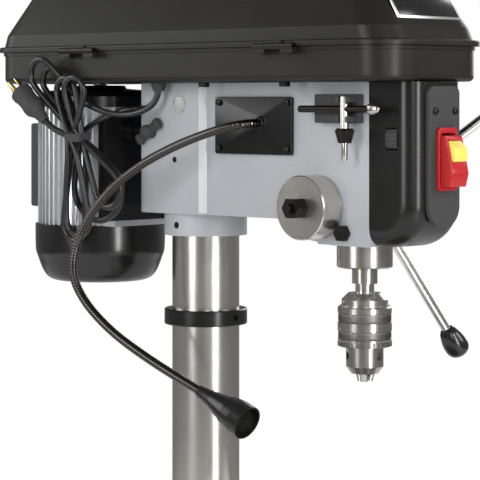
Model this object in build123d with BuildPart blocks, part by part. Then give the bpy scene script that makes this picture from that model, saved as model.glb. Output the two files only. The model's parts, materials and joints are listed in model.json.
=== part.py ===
"""Bench drill press: 15 inch swing, belt cover with lid, three stepped pulleys, keyed chuck.

Frame: +Z up, front (operator's side) towards -Y, the machine's left towards -X.
Origin: column axis, on the underside of the base. Units are millimetres.
"""

import os
from math import cos, pi, radians, sin, tan

from build123d import *

os.makedirs("parts", exist_ok=True)

# ---------------------------------------------------------------- driving dimensions
COLUMN_R = 36.5
COLUMN_TOP = 868.0
FIT = 0.05  # radial clearance of a shaft in its bore
SPINDLE_Y = -226.0  # spindle axis in front of the column axis
MOTOR_Y = 169.0
IDLER_Y = -28.0
PIN_AXIS_Y = -200.0  # axis of the feed pinion
PIN_AXIS_Z = 812.0

BASE_W, BASE_FRONT, BASE_REAR, BASE_H = 280.0, -330.0, 110.0, 42.0
BASE_HOLE_X, BASE_HOLE_REAR, BASE_HOLE_FRONT, BASE_HOLE_R = 110.0, 84.0, -300.0, 6.5

HEAD_BOTTOM, HEAD_TOP = 774.0, 938.0
HEAD_REAR_Y, HEAD_FRONT_Y = 55.0, -266.0
REAR_HALF, FRONT_HALF = 48.0, 41.0  # half widths of the casting, behind and in front of its step
HOUSING_FRONT_Y = -324.0
SWITCH_Z, SWITCH_W, SWITCH_H = 862.0, 25.5, 55.0
BEZEL_BACK_Y, BEZEL_FRONT_Y = HOUSING_FRONT_Y - 5, HOUSING_FRONT_Y - 9

TRAY_Z, LID_Z, CREASE_Z, COVER_TOP = 938.5, 974.0, 993.0, 1065.0
COVER_HALF, COVER_FRONT, COVER_REAR, COVER_R = 83.0, -325.0, 268.0, 38.0
COVER_WALL = 2.5
HINGE_X, HINGE_Z = -88.5, 974.0
HINGE_CENTRES_Y = (111.0, -181.0)

QUILL_R, QUILL_NOSE_R, QUILL_BOTTOM, QUILL_TOP = 20.0, 28.5, 750.0, 912.0
PINION_TEETH, PINION_MODULE = 13, 1.25

TABLE_TOP, TABLE_R, TABLE_T = 480.0, 150.0, 28.0
TILT_Z = 425.0  # the table tilts about a level axis at this height
BRACKET_LOW, BRACKET_HIGH = 380.0, 468.0
RACK_LOW, RACK_HIGH = 100.0, 677.0
RACK_FACE_Y = 44.8
CRANK_TEETH, CRANK_MODULE, CRANK_Z = 12, 2.0, 418.0

PULLEY_STEPS = (56.0, 48.0, 40.0, 32.0)
PULLEY_LOW, STEP_H = 950.0, 18.0

CORD_D = 7.0


def save(builder, name):
    """Label a finished sub-part and write it as one STEP file."""
    builder.part.label = name
    export_step(builder.part, f"parts/{name}.step")


def plane_x(x, y=0.0, z=0.0):
    """A sketch plane that faces -X, with sketch x along -Y and sketch y along +Z."""
    return Plane(origin=(x, y, z), x_dir=(0, -1, 0), z_dir=(-1, 0, 0))


def plane_right(x, y=0.0, z=0.0):
    """A sketch plane that faces +X, with sketch x along +Y and sketch y along +Z."""
    return Plane(origin=(x, y, z), x_dir=(0, 1, 0), z_dir=(1, 0, 0))


def plane_front(y, x=0.0, z=0.0):
    """A sketch plane that faces -Y, with sketch x along +X and sketch y along +Z."""
    return Plane(origin=(x, y, z), x_dir=(1, 0, 0), z_dir=(0, -1, 0))


def level(z, x=0.0, y=0.0):
    """A level sketch plane at height z."""
    return Plane(origin=(x, y, z))


def turned(plane, points):
    """Revolve a closed outline of (radius, height) points about the plane's z axis."""
    outline_plane = Plane(origin=plane.origin, x_dir=plane.x_dir, z_dir=-plane.y_dir)
    with BuildPart() as turned_part:
        with BuildSketch(outline_plane):
            with BuildLine():
                Polyline(*points, close=True)
            make_face()
        revolve(axis=Axis(plane.origin, plane.z_dir))
    return turned_part


def toothed(teeth, module, first_angle):
    """Points of a pinion's outline, with room left beside every tooth."""
    pitch_r, pitch = teeth * module / 2, pi * module
    half_tooth = ((pitch_r - 1.2 * module, 0.21), (pitch_r, 0.19), (pitch_r + 0.8 * module, 0.09))
    points = []
    for tooth in range(teeth):
        angle = radians(first_angle + 360 * tooth / teeth)
        flank = [(r, -w * pitch) for r, w in half_tooth]
        flank += [(r, w * pitch) for r, w in reversed(half_tooth)]
        points += [(r * cos(angle) - w * sin(angle), r * sin(angle) + w * cos(angle)) for r, w in flank]
    return points


def rack_gap(module, face, height):
    """Outline of the gap between two rack teeth that face outwards, as (depth, height) points."""
    half = 0.25 * pi * module
    top, root = half + 0.36 * module + 0.36, half - 0.42 * module
    depth = face - 2.25 * module
    return [(face + 1, height - top), (face + 1, height + top), (depth, height + root), (depth, height - root)]


# ---------------------------------------------------------------- base and column
BASE_MID_Y = (BASE_FRONT + BASE_REAR) / 2
BASE_L = BASE_REAR - BASE_FRONT
BASE_HOLE_MID_Y = (BASE_HOLE_REAR + BASE_HOLE_FRONT) / 2
BASE_HOLE_SPAN = BASE_HOLE_REAR - BASE_HOLE_FRONT

with BuildPart() as base:
    with BuildSketch(level(0, 0, BASE_MID_Y)):
        RectangleRounded(BASE_W, BASE_L, 28)
    extrude(amount=BASE_H, taper=4)
    fillet(base.faces().sort_by(Axis.Z)[-1].edges(), 5)
    with BuildSketch(level(0, 0, BASE_MID_Y)):
        RectangleRounded(BASE_W - 28, BASE_L - 28, 18)
    extrude(amount=BASE_H - 14, mode=Mode.SUBTRACT)
    with BuildSketch(level(0)):
        Circle(62)
        with Locations((0, BASE_MID_Y)):
            Rectangle(8, BASE_L - 20)
        for rib_y in (BASE_MID_Y - 110, BASE_MID_Y, BASE_MID_Y + 110):
            with Locations((0, rib_y)):
                Rectangle(BASE_W - 20, 8)
        with Locations((0, BASE_HOLE_MID_Y)):
            with GridLocations(2 * BASE_HOLE_X, BASE_HOLE_SPAN, 2, 2):
                Circle(17)
    extrude(amount=BASE_H - 12)
    with BuildSketch(level(BASE_H - 2, 0, -205)):
        RectangleRounded(200, 170, 12)
    extrude(amount=5)
    with BuildSketch(level(0, 0, BASE_HOLE_MID_Y)):
        with GridLocations(2 * BASE_HOLE_X, BASE_HOLE_SPAN, 2, 2):
            Circle(BASE_HOLE_R)
    extrude(amount=BASE_H + 5, mode=Mode.SUBTRACT)
save(base, "base")

with BuildPart() as column_flange:
    Cylinder(68, 14, align=(Align.CENTER, Align.CENTER, Align.MIN))
    with BuildSketch(level(14)):
        Circle(60)
    with BuildSketch(level(30)):
        Circle(47)
    loft()
    with BuildSketch(level(30)):
        Circle(47)
    extrude(amount=28)
    chamfer(column_flange.faces().sort_by(Axis.Z)[-1].edges(), 2)
    with BuildSketch(level(14)):
        with PolarLocations(60, 4, start_angle=45):
            Circle(11)
    extrude(amount=20, mode=Mode.SUBTRACT)
    with BuildSketch(level(0)):
        with PolarLocations(60, 4, start_angle=45):
            Circle(5.2)
        Circle(COLUMN_R + 0.02)
    extrude(amount=80, mode=Mode.SUBTRACT)
column_flange.part = column_flange.part.moved(Location((0, 0, BASE_H)))
save(column_flange, "column_flange")

with BuildPart() as column:
    with BuildSketch(level(BASE_H)):
        Circle(COLUMN_R)
        Circle(COLUMN_R - 5, mode=Mode.SUBTRACT)
    extrude(amount=COLUMN_TOP - BASE_H)
    chamfer(column.edges().filter_by(GeomType.CIRCLE), 0.8)
save(column, "column")

with BuildPart() as rack_ring:
    with BuildSketch(level(RACK_HIGH)):
        Circle(45)
        Circle(COLUMN_R + 0.02, mode=Mode.SUBTRACT)
    extrude(amount=17)
    chamfer(rack_ring.edges().filter_by(GeomType.CIRCLE).sort_by(SortBy.RADIUS)[-2:], 1)
    with BuildSketch(plane_front(-50, 0, RACK_HIGH + 8.5)):
        Circle(3.1)
    extrude(amount=-20, mode=Mode.SUBTRACT)
save(rack_ring, "rack_ring")

with BuildPart() as rack:
    with BuildSketch(level(RACK_LOW + 0.3)):
        with Locations((0, (RACK_FACE_Y + COLUMN_R + 0.6) / 2)):
            Rectangle(11, RACK_FACE_Y - COLUMN_R - 0.6)
    extrude(amount=RACK_HIGH - RACK_LOW - 0.6)
    with BuildSketch(plane_right(-6)):
        with BuildLine():
            Polyline(*rack_gap(CRANK_MODULE, RACK_FACE_Y, CRANK_Z), close=True)
        make_face()
    gap = extrude(amount=12, mode=Mode.PRIVATE)
    for step in range(-49, 40):
        add(gap.moved(Location((0, 0, step * pi * CRANK_MODULE))), mode=Mode.SUBTRACT)
save(rack, "rack")

# ---------------------------------------------------------------- head casting
HEAD_SIDE = [(HEAD_REAR_Y, HEAD_TOP), (HEAD_REAR_Y, 802), (HEAD_REAR_Y - 4, 798), (-143, 798),
             (-160, 787), (-188, 778), (-217, HEAD_BOTTOM), (HEAD_FRONT_Y, HEAD_BOTTOM),
             (HEAD_FRONT_Y, HEAD_TOP)]
STEP_REAR_Y, STEP_FRONT_Y = -36.6, -41.6


def head_plan(inset):
    """Plan outline of the casting, drawn inwards by inset."""
    rear, front = REAR_HALF - inset, FRONT_HALF - inset
    half = [(rear, HEAD_REAR_Y - inset), (rear, STEP_REAR_Y), (front, STEP_FRONT_Y),
            (front, HEAD_FRONT_Y + inset)]
    with BuildLine() as outline:
        Polyline(*half, *[(-x, y) for x, y in reversed(half)], close=True)
    return outline


with BuildPart() as head_casting:
    with BuildSketch(Plane.XY.offset(HEAD_BOTTOM - 10)):
        add(head_plan(0).line)
        make_face()
    extrude(amount=HEAD_TOP - HEAD_BOTTOM + 10)
    with BuildSketch(plane_right(-60)):
        with BuildLine():
            Polyline(*HEAD_SIDE, close=True)
        make_face()
    extrude(amount=120, mode=Mode.INTERSECT)
    fillet(head_casting.edges().filter_by(Axis.Z).group_by(Axis.Y)[-1], 6)
    with BuildSketch(Plane.XY.offset(808)):
        add(head_plan(8).line)
        make_face()
    extrude(amount=HEAD_TOP - 10 - 808, mode=Mode.SUBTRACT)
    # collar round the column, quill barrel and pinion barrel inside the shell
    with BuildSketch(level(HEAD_BOTTOM)):
        Circle(45)
    extrude(amount=COLUMN_TOP + 6 - HEAD_BOTTOM)
    with BuildSketch(level(HEAD_BOTTOM, 0, SPINDLE_Y)):
        Rectangle(2 * FRONT_HALF - 10, 64)
    extrude(amount=106)
    with BuildSketch(plane_right(-FRONT_HALF, PIN_AXIS_Y, PIN_AXIS_Z)):
        Circle(18)
    extrude(amount=2 * FRONT_HALF)
    with BuildSketch(level(HEAD_TOP - 20, 0, SPINDLE_Y)):
        Circle(33)
    extrude(amount=20)
    with BuildSketch(level(HEAD_TOP - 24, 0, 20)):
        Circle(16)
    extrude(amount=24)
    # bores
    with BuildSketch(level(HEAD_BOTTOM - 1)):
        Circle(COLUMN_R + 0.02)
    extrude(amount=COLUMN_TOP + 2 - HEAD_BOTTOM, mode=Mode.SUBTRACT)
    with BuildSketch(level(HEAD_BOTTOM - 1, 0, SPINDLE_Y)):
        Circle(QUILL_R + FIT)
    extrude(amount=120, mode=Mode.SUBTRACT)
    with BuildSketch(level(HEAD_TOP - 40, 0, SPINDLE_Y)):
        Circle(26.0)
    extrude(amount=60, mode=Mode.SUBTRACT)
    with BuildSketch(plane_right(-60, PIN_AXIS_Y, PIN_AXIS_Z)):
        Circle(10 + FIT)
    extrude(amount=120, mode=Mode.SUBTRACT)
    with BuildSketch(plane_right(-60, 0, 886)):
        with Locations((-8, 29)):
            Circle(6.5)
        with Locations((35, 0)):
            Circle(4.1)
    extrude(amount=120, mode=Mode.SUBTRACT)
    with BuildSketch(plane_front(HEAD_REAR_Y - 12, 0, 886)):
        with Locations((-28, 0), (28, 0)):
            Circle(8 + FIT)
    extrude(amount=-40, mode=Mode.SUBTRACT)
    with BuildSketch(level(HEAD_TOP - 30, 0, 20)):
        Circle(8 + FIT)
    extrude(amount=40, mode=Mode.SUBTRACT)

# x, z, radius and depth of the screws in the head's flanks
HEAD_SCREWS = ((-REAR_HALF, 856, 3.2, 7), (-45, 785.5, 3.6, 8), (REAR_HALF - 7, 856, 3.2, 7))
with BuildPart() as screw_holes:
    for screw_x, screw_z, screw_r, depth in HEAD_SCREWS:
        with BuildSketch(plane_right(screw_x, 0, screw_z)):
            Circle(screw_r + 0.02)
        extrude(amount=depth)
head_casting.part = head_casting.part - screw_holes.part
save(head_casting, "head_casting")

# ---------------------------------------------------------------- front control housing and switch


def housing_solid(inset):
    """Rounded box of the control housing, drawn inwards by inset and flat at the back."""
    front, bottom, bend = HOUSING_FRONT_Y + inset, HEAD_BOTTOM + inset, 45 - inset
    half = FRONT_HALF - inset
    with BuildPart() as shape:
        with BuildSketch(plane_right(-half)):
            with BuildLine():
                Line((HEAD_FRONT_Y, HEAD_TOP - inset), (front, HEAD_TOP - inset))
                Line((front, HEAD_TOP - inset), (front, bottom + bend))
                RadiusArc((front, bottom + bend), (front + bend, bottom), -bend)
                Line((front + bend, bottom), (HEAD_FRONT_Y, bottom))
                Line((HEAD_FRONT_Y, bottom), (HEAD_FRONT_Y, HEAD_TOP - inset))
            make_face()
        extrude(amount=2 * half)
        arcs = shape.edges().filter_by(GeomType.CIRCLE)
        uprights = shape.edges().filter_by(Axis.Z).group_by(Axis.Y)[0]
        fillet(arcs + uprights, 20 - inset)
    return shape.part


outer_housing = housing_solid(0)
inner_housing = housing_solid(3)
with BuildPart() as front_housing:
    add(outer_housing)
    add(inner_housing, mode=Mode.SUBTRACT)
    with BuildSketch(plane_front(HOUSING_FRONT_Y - 2, 0, SWITCH_Z)):
        Rectangle(SWITCH_W + 0.6, SWITCH_H + 0.6)
    extrude(amount=-8, mode=Mode.SUBTRACT)
    with BuildSketch(plane_x(-FRONT_HALF - 1, -295, 882)):
        Rectangle(14, 22)
    extrude(amount=-6, mode=Mode.SUBTRACT)
save(front_housing, "front_housing")

with BuildPart() as switch_panel:
    with BuildSketch(plane_front(HOUSING_FRONT_Y, 0, 864.5)) as face:
        Rectangle(48, 139)
        fillet(face.vertices().group_by(Axis.Y)[0], 21)
        fillet(face.vertices().group_by(Axis.Y)[-1], 8)
    extrude(amount=5)
    fillet(switch_panel.faces().sort_by(Axis.Y)[0].edges(), 1.5)
    with BuildSketch(plane_front(HOUSING_FRONT_Y, 0, SWITCH_Z)):
        Rectangle(SWITCH_W + 0.6, SWITCH_H + 0.6)
        with Locations((-15.5, 47), (15.5, 47)):
            Circle(2.1)
    extrude(amount=6, mode=Mode.SUBTRACT)
save(switch_panel, "switch_panel")

with BuildPart() as switch_frame:
    with BuildSketch(plane_front(BEZEL_BACK_Y, 0, SWITCH_Z)):
        RectangleRounded(SWITCH_W + 3, SWITCH_H + 7, 4)
    extrude(amount=4)
    with BuildSketch(plane_front(BEZEL_BACK_Y + 19, 0, SWITCH_Z)):
        Rectangle(SWITCH_W, SWITCH_H)
    extrude(amount=19)
    with BuildSketch(plane_front(BEZEL_FRONT_Y, 0, SWITCH_Z)):
        Rectangle(SWITCH_W - 3.5, SWITCH_H - 4)
    extrude(amount=-14, mode=Mode.SUBTRACT)
save(switch_frame, "switch_frame")

KEY_W, KEY_TOP_Z, KEY_BOTTOM_Z = 20.0, 880.0, 859.5
with BuildPart() as switch_paddle:
    with BuildSketch(plane_right(-KEY_W / 2 - 0.3)):
        with BuildLine():
            Polyline((-329, 884), (-334.5, 884), (-334.5, 838.5), (-329, 838.5), close=True)
        make_face()
    extrude(amount=KEY_W + 0.6)
    with BuildSketch(plane_right(-13)) as side:
        with BuildLine():
            Polyline((-333.8, 885), (-339.5, 885), (-343, 872), (-348, 848), (-344.5, 835), (-333.8, 835),
                     close=True)
        make_face()
        fillet(side.vertices().group_by(Axis.X)[0], 6)
    extrude(amount=26)
    with BuildSketch(plane_front(-360, 0, (KEY_TOP_Z + KEY_BOTTOM_Z) / 2)):
        Rectangle(KEY_W + 0.8, KEY_TOP_Z - KEY_BOTTOM_Z + 0.8)
    extrude(amount=-40, mode=Mode.SUBTRACT)
save(switch_paddle, "switch_paddle")

with BuildPart() as switch_key:
    with BuildSketch(plane_right(-KEY_W / 2)):
        with BuildLine():
            Polyline((-324, KEY_TOP_Z), (-341, KEY_TOP_Z), (-348.5, 874), (-350, 863), (-348, KEY_BOTTOM_Z),
                     (-324, KEY_BOTTOM_Z), close=True)
        make_face()
    extrude(amount=KEY_W)
save(switch_key, "switch_key")

LAMP_SWITCH_Y, LAMP_SWITCH_Z = -295.0, 882.0
with BuildPart() as lamp_switch:
    with BuildSketch(Plane(origin=(-FRONT_HALF + 8, LAMP_SWITCH_Y + 6.3, LAMP_SWITCH_Z),
                           x_dir=(-1, 0, 0), z_dir=(0, -1, 0))):
        Circle(12)
        with Locations((-8, 0)):
            Rectangle(16, 30, mode=Mode.SUBTRACT)
        with Locations((15.5, 0)):
            Rectangle(10, 5, mode=Mode.SUBTRACT)
        with Locations((0, 15), (0, -15)):
            Rectangle(30, 10.6, mode=Mode.SUBTRACT)
    extrude(amount=12.6)
save(lamp_switch, "lamp_switch")

# ---------------------------------------------------------------- belt cover
COVER_MID_Y = (COVER_FRONT + COVER_REAR) / 2


def cover_plan(z, side, front, rear, radius):
    """Rounded outline of the cover at height z, drawn in by side, front and rear."""
    with BuildSketch(level(z, 0, COVER_MID_Y + (front - rear) / 2)) as plan:
        RectangleRounded(2 * (COVER_HALF - side), COVER_REAR - COVER_FRONT - front - rear, radius)
    return plan


with BuildPart() as cover_tray:
    add(cover_plan(TRAY_Z, 2.5, 2.5, 2.5, COVER_R).sketch)
    extrude(amount=LID_Z - TRAY_Z)
    fillet(cover_tray.faces().sort_by(Axis.Z)[0].edges(), 6)
    add(cover_plan(TRAY_Z + COVER_WALL, *[2.5 + COVER_WALL] * 3, COVER_R - COVER_WALL).sketch)
    extrude(amount=LID_Z - TRAY_Z, mode=Mode.SUBTRACT)
    with BuildSketch(level(TRAY_Z)):
        with Locations((0, SPINDLE_Y)):
            Circle(22)
        with Locations((0, 20)):
            Circle(9)
        with Locations((0, MOTOR_Y - 6)):
            SlotCenterToCenter(14, 26, rotation=90)
        with Locations((-60, 12)):
            Circle(5)
    extrude(amount=COVER_WALL + 1, mode=Mode.SUBTRACT)
    with BuildSketch(level(LID_Z - 4, 0, COVER_MID_Y)):
        RectangleRounded(2 * (COVER_HALF - 1), COVER_REAR - COVER_FRONT - 2, COVER_R + 1)
        RectangleRounded(2 * (COVER_HALF - 5), COVER_REAR - COVER_FRONT - 10, COVER_R - 3,
                         mode=Mode.SUBTRACT)
    extrude(amount=3.7)
    for hinge_y in HINGE_CENTRES_Y:
        for end in (-1, 1):
            with BuildSketch(plane_front(hinge_y + end * 19 + 8, HINGE_X, HINGE_Z)):
                Circle(3.4)
                with Locations((3, -4)):
                    Rectangle(9, 6)
                Circle(2.05, mode=Mode.SUBTRACT)
            extrude(amount=16)
save(cover_tray, "cover_tray")

LID_RIM = 6.0
with BuildPart() as cover_lid:
    add(cover_plan(LID_Z, -3, -3, -3, COVER_R + 3).sketch)
    extrude(amount=LID_RIM)
    fillet(cover_lid.faces().sort_by(Axis.Z)[-1].edges(), 2.5)
    loft([cover_plan(LID_Z + 1, 1, 3, 3, COVER_R - 2).sketch, cover_plan(CREASE_Z, 2, 12, 10, 34).sketch],
         mode=Mode.ADD)
    loft([cover_plan(CREASE_Z, 2, 12, 10, 34).sketch, cover_plan(COVER_TOP, 42, 54, 44, 22).sketch])
    fillet(cover_lid.faces().sort_by(Axis.Z)[-1].edges(), 6)
    loft([cover_plan(LID_Z - 1, 4, 6, 6, COVER_R - 5).sketch,
          cover_plan(CREASE_Z - 1, 5, 15, 13, 31).sketch], mode=Mode.SUBTRACT)
    loft([cover_plan(CREASE_Z - 1, 5, 15, 13, 31).sketch,
          cover_plan(COVER_TOP - 3, 44, 56, 46, 20).sketch], mode=Mode.SUBTRACT)
    for hinge_y in HINGE_CENTRES_Y:
        with BuildSketch(plane_front(hinge_y + 10.6, HINGE_X, HINGE_Z)):
            Circle(3.4)
            with Locations((3.4, 3)):
                Rectangle(7, 5)
            Circle(2.05, mode=Mode.SUBTRACT)
        extrude(amount=21.2)
        for end in (-1, 1):
            with BuildSketch(plane_front(hinge_y + end * 19.2 + 8.8, HINGE_X, HINGE_Z)):
                Circle(3.8)
            extrude(amount=17.6, mode=Mode.SUBTRACT)
save(cover_lid, "cover_lid")

with BuildPart() as hinge_pins:
    for hinge_y in HINGE_CENTRES_Y:
        with BuildSketch(plane_front(hinge_y + 28, HINGE_X, HINGE_Z)):
            Circle(2.0)
        extrude(amount=56)
save(hinge_pins, "hinge_pins")

# ---------------------------------------------------------------- hex bolts
FLANGE_BOLT_XY = 60 * cos(pi / 4)
with BuildPart() as hex_bolts:
    with BuildSketch(level(BASE_H + 14)):
        with GridLocations(2 * FLANGE_BOLT_XY, 2 * FLANGE_BOLT_XY, 2, 2):
            RegularPolygon(8.5, 6, major_radius=False)
    extrude(amount=8)
    with BuildSketch(level(BASE_H)):
        with GridLocations(2 * FLANGE_BOLT_XY, 2 * FLANGE_BOLT_XY, 2, 2):
            Circle(5)
    extrude(amount=14)
    with BuildSketch(plane_x(-FRONT_HALF, -233.5, 787)):
        RegularPolygon(7.5, 6, major_radius=False)
    extrude(amount=7)
    with BuildSketch(level(TRAY_Z, 0, 0)):
        with Locations((-66, -62), (-66, -176), (66, -62), (66, -176)):
            RegularPolygon(5, 6, major_radius=False)
    extrude(amount=-5)
save(hex_bolts, "hex_bolts")

# ---------------------------------------------------------------- pulleys, bearings and belts


def stepped_pulley(y, steps, bore_r):
    """Cone of V-grooved steps, largest radius first when it stands at the bottom."""
    outline = [(bore_r, PULLEY_LOW)]
    for number, r in enumerate(steps):
        low = PULLEY_LOW + number * STEP_H
        mid, high = low + STEP_H / 2, low + STEP_H
        outline += [(r, low), (r, mid - 6.5), (r - 11, mid - 3.5), (r - 11, mid + 3.5), (r, mid + 6.5),
                    (r, high)]
    outline.append((bore_r, PULLEY_LOW + len(steps) * STEP_H))
    return turned(level(0, 0, y), outline)


with BuildPart() as spindle_pulley:
    add(stepped_pulley(SPINDLE_Y, PULLEY_STEPS, 8 + FIT).part)
    with BuildSketch(level(HEAD_TOP - 19, 0, SPINDLE_Y)):
        Circle(15)
        Circle(8 + FIT, mode=Mode.SUBTRACT)
    extrude(amount=PULLEY_LOW - HEAD_TOP + 19)
save(spindle_pulley, "spindle_pulley")

with BuildPart() as head_bearings:
    with BuildSketch(level(HEAD_TOP - 18, 0, SPINDLE_Y)):
        Circle(25.95)
        Circle(15.05, mode=Mode.SUBTRACT)
    extrude(amount=16)
save(head_bearings, "head_bearings")

with BuildPart() as motor_pulley:
    add(stepped_pulley(MOTOR_Y, PULLEY_STEPS, 7).part)
    with BuildSketch(level(900, 0, MOTOR_Y)):
        Circle(8)
    extrude(amount=PULLEY_LOW + 4 * STEP_H + 4 - 900)
save(motor_pulley, "motor_pulley")

with BuildPart() as idler_arm:
    with BuildSketch(level(942, 0, (20 + IDLER_Y) / 2)):
        SlotCenterToCenter(20 - IDLER_Y, 30, rotation=90)
    extrude(amount=5)
    with BuildSketch(level(HEAD_TOP - 22, 0, 20)):
        Circle(8)
    extrude(amount=26)
    with BuildSketch(level(946, 0, IDLER_Y)):
        Circle(7)
    extrude(amount=82)
save(idler_arm, "idler_arm")

idler_pulley = stepped_pulley(IDLER_Y, PULLEY_STEPS[::-1], 7 + FIT)
save(idler_pulley, "idler_pulley")

with BuildPart() as drive_belts:
    for number, ends in enumerate((((SPINDLE_Y, 48), (IDLER_Y, 40)), ((MOTOR_Y, 40), (IDLER_Y, 48)))):
        with BuildSketch(level(PULLEY_LOW + (number + 1.5) * STEP_H - 3.5)):
            for y, r in ends:
                with Locations((0, y)):
                    Circle(r - 1.5)
            make_hull()
        extrude(amount=7)
        with BuildSketch(level(PULLEY_LOW + (number + 1.5) * STEP_H - 3.5)):
            for y, r in ends:
                with Locations((0, y)):
                    Circle(r - 10)
            make_hull()
        extrude(amount=7, mode=Mode.SUBTRACT)
save(drive_belts, "drive_belts")

# ---------------------------------------------------------------- quill, spindle and chuck
RACK_LINE = 17.75  # pitch line of the quill's rack, from the spindle axis
QUILL_FACE_Y = SPINDLE_Y + RACK_LINE + PINION_MODULE

with BuildPart() as quill:
    with BuildSketch(level(HEAD_BOTTOM - 4, 0, SPINDLE_Y)):
        Circle(QUILL_R)
    extrude(amount=QUILL_TOP - HEAD_BOTTOM + 4)
    with BuildSketch(level(QUILL_BOTTOM, 0, SPINDLE_Y)):
        Circle(QUILL_NOSE_R)
    extrude(amount=HEAD_BOTTOM - 0.3 - QUILL_BOTTOM)
    chamfer(quill.edges().filter_by(GeomType.CIRCLE).sort_by(Axis.Z)[0], 1.5)
    with BuildSketch(level(PIN_AXIS_Z - 12, 0, QUILL_FACE_Y + 5)):
        Rectangle(24, 10)
    extrude(amount=QUILL_TOP - PIN_AXIS_Z + 12, mode=Mode.SUBTRACT)
    with BuildSketch(plane_right(-12)):
        with BuildLine():
            Polyline(*rack_gap(PINION_MODULE, QUILL_FACE_Y, PIN_AXIS_Z), close=True)
        make_face()
    gap = extrude(amount=24, mode=Mode.PRIVATE)
    for step in range(-2, 24):
        add(gap.moved(Location((0, 0, step * pi * PINION_MODULE))), mode=Mode.SUBTRACT)
    with BuildSketch(level(QUILL_BOTTOM - 1, 0, SPINDLE_Y)):
        Circle(14)
    extrude(amount=QUILL_TOP - QUILL_BOTTOM + 2, mode=Mode.SUBTRACT)
save(quill, "quill")

with BuildPart() as quill_bearings:
    for bearing_z in (QUILL_BOTTOM + 1, QUILL_TOP - 13):
        with BuildSketch(level(bearing_z, 0, SPINDLE_Y)):
            Circle(13.95)
            Circle(10.05, mode=Mode.SUBTRACT)
        extrude(amount=12)
save(quill_bearings, "quill_bearings")

SPINDLE_TOP = 1040.0
spindle = turned(level(0, 0, SPINDLE_Y), [
    (0, 722), (9.6, 722), (9.6, 734), (13, 734), (13, QUILL_BOTTOM - 0.4), (10, QUILL_BOTTOM - 0.4),
    (10, QUILL_TOP), (8, QUILL_TOP), (8, SPINDLE_TOP), (0, SPINDLE_TOP)])
save(spindle, "spindle")

CHUCK_TIP = 634.7
JAW_TILT = 16.0
JAW_R = 3.7
chuck_body = turned(level(0, 0, SPINDLE_Y), [
    (9.65, 700), (9.65, 724.5), (17, 724.5), (23.5, 718), (23.5, 712), (25, 712), (25, 670), (19, 670),
    (19, 650), (14, 643), (8, 643), (8, 700)])


def jaw_plane(number, along=0.0):
    """Plane at a jaw's tip, or further up its bore, facing up the bore."""
    turn = radians(90 + 120 * number)
    lean = radians(JAW_TILT)
    out = Vector(cos(turn), sin(turn), 0)
    up = out * sin(lean) + Vector(0, 0, cos(lean))
    return Plane(origin=Vector(0, SPINDLE_Y, CHUCK_TIP) + out * 4.6 + up * along, z_dir=up)


for number in range(3):
    with BuildPart() as jaw:
        with BuildSketch(jaw_plane(number, -6)):
            Circle(JAW_R)
        extrude(amount=46)
        with BuildSketch(level(CHUCK_TIP - 20, 0, SPINDLE_Y)):
            Rectangle(60, 60)
        extrude(amount=20, mode=Mode.SUBTRACT)
        turn = 90 + 120 * number
        face_plane = Plane(origin=(0, SPINDLE_Y, CHUCK_TIP)).rotated((0, 0, turn))
        with BuildSketch(Plane(origin=face_plane.origin, x_dir=face_plane.x_dir)):
            with Locations((-9, 0)):
                Rectangle(20, 30)
        extrude(amount=60, mode=Mode.SUBTRACT)
    save(jaw, f"chuck_jaw_{number + 1}")

with BuildPart() as jaw_bores:
    for number in range(3):
        with BuildSketch(jaw_plane(number, -4)):
            Circle(JAW_R + 0.1)
        extrude(amount=64)
with BuildPart() as key_bores:
    for number in range(3):
        turn = radians(30 + 120 * number)
        out = Vector(cos(turn), sin(turn), 0)
        with BuildSketch(Plane(origin=Vector(0, SPINDLE_Y, 661) + out * 10.5, z_dir=out)):
            Circle(4)
        extrude(amount=20)
chuck_body.part = chuck_body.part - jaw_bores.part - key_bores.part
save(chuck_body, "chuck_body")

SLEEVE_BANDS = [(27.5, 711), (27.5, 704), (26.4, 703.4), (26.4, 695), (27.5, 694.4), (27.5, 686.5),
                (26.4, 686), (26.4, 678.6), (26.8, 678), (26.8, 670.5)]
with BuildPart() as chuck_sleeve:
    add(turned(level(0, 0, SPINDLE_Y), [(25.1, 670.5), (25.1, 711)] + SLEEVE_BANDS).part)
    with BuildSketch(level(670.5, 0, SPINDLE_Y)):
        with PolarLocations(27.2, 30):
            Rectangle(2.2, 2.6)
    extrude(amount=5, mode=Mode.SUBTRACT)
save(chuck_sleeve, "chuck_sleeve")

# ---------------------------------------------------------------- feed: pinion, hub, rods, return spring
with BuildPart() as pinion_shaft:
    add(turned(plane_right(0, PIN_AXIS_Y, PIN_AXIS_Z), [
        (0, -90), (5, -90), (5, -64), (8, -64), (8, -42), (10, -42), (10, -24), (6.2, -24), (6.2, 24),
        (10, 24), (10, 60), (0, 60)]).part)
    with BuildSketch(plane_right(-10, PIN_AXIS_Y, PIN_AXIS_Z)):
        with BuildLine():
            Polyline(*toothed(PINION_TEETH, PINION_MODULE, 180), close=True)
        make_face()
    extrude(amount=20)
    for nut_x in (-77.3, -85):
        with BuildSketch(plane_right(nut_x, PIN_AXIS_Y, PIN_AXIS_Z)):
            RegularPolygon(9.5, 6, major_radius=False)
        extrude(amount=7)
save(pinion_shaft, "pinion_shaft")

spring_cap = turned(plane_x(-FRONT_HALF, PIN_AXIS_Y, PIN_AXIS_Z), [
    (10.5, 0), (32.5, 0), (32.5, 3), (31.8, 3), (31.8, 4), (32.5, 4), (32.5, 28), (31.5, 29), (5.3, 29),
    (5.3, 25), (28, 25), (28, 3), (10.5, 3)])
save(spring_cap, "spring_cap")

with BuildPart() as return_spring:
    with BuildSketch(plane_x(-FRONT_HALF - 5, PIN_AXIS_Y, PIN_AXIS_Z)):
        Circle(26)
        Circle(12, mode=Mode.SUBTRACT)
    extrude(amount=14)
save(return_spring, "return_spring")

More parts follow.
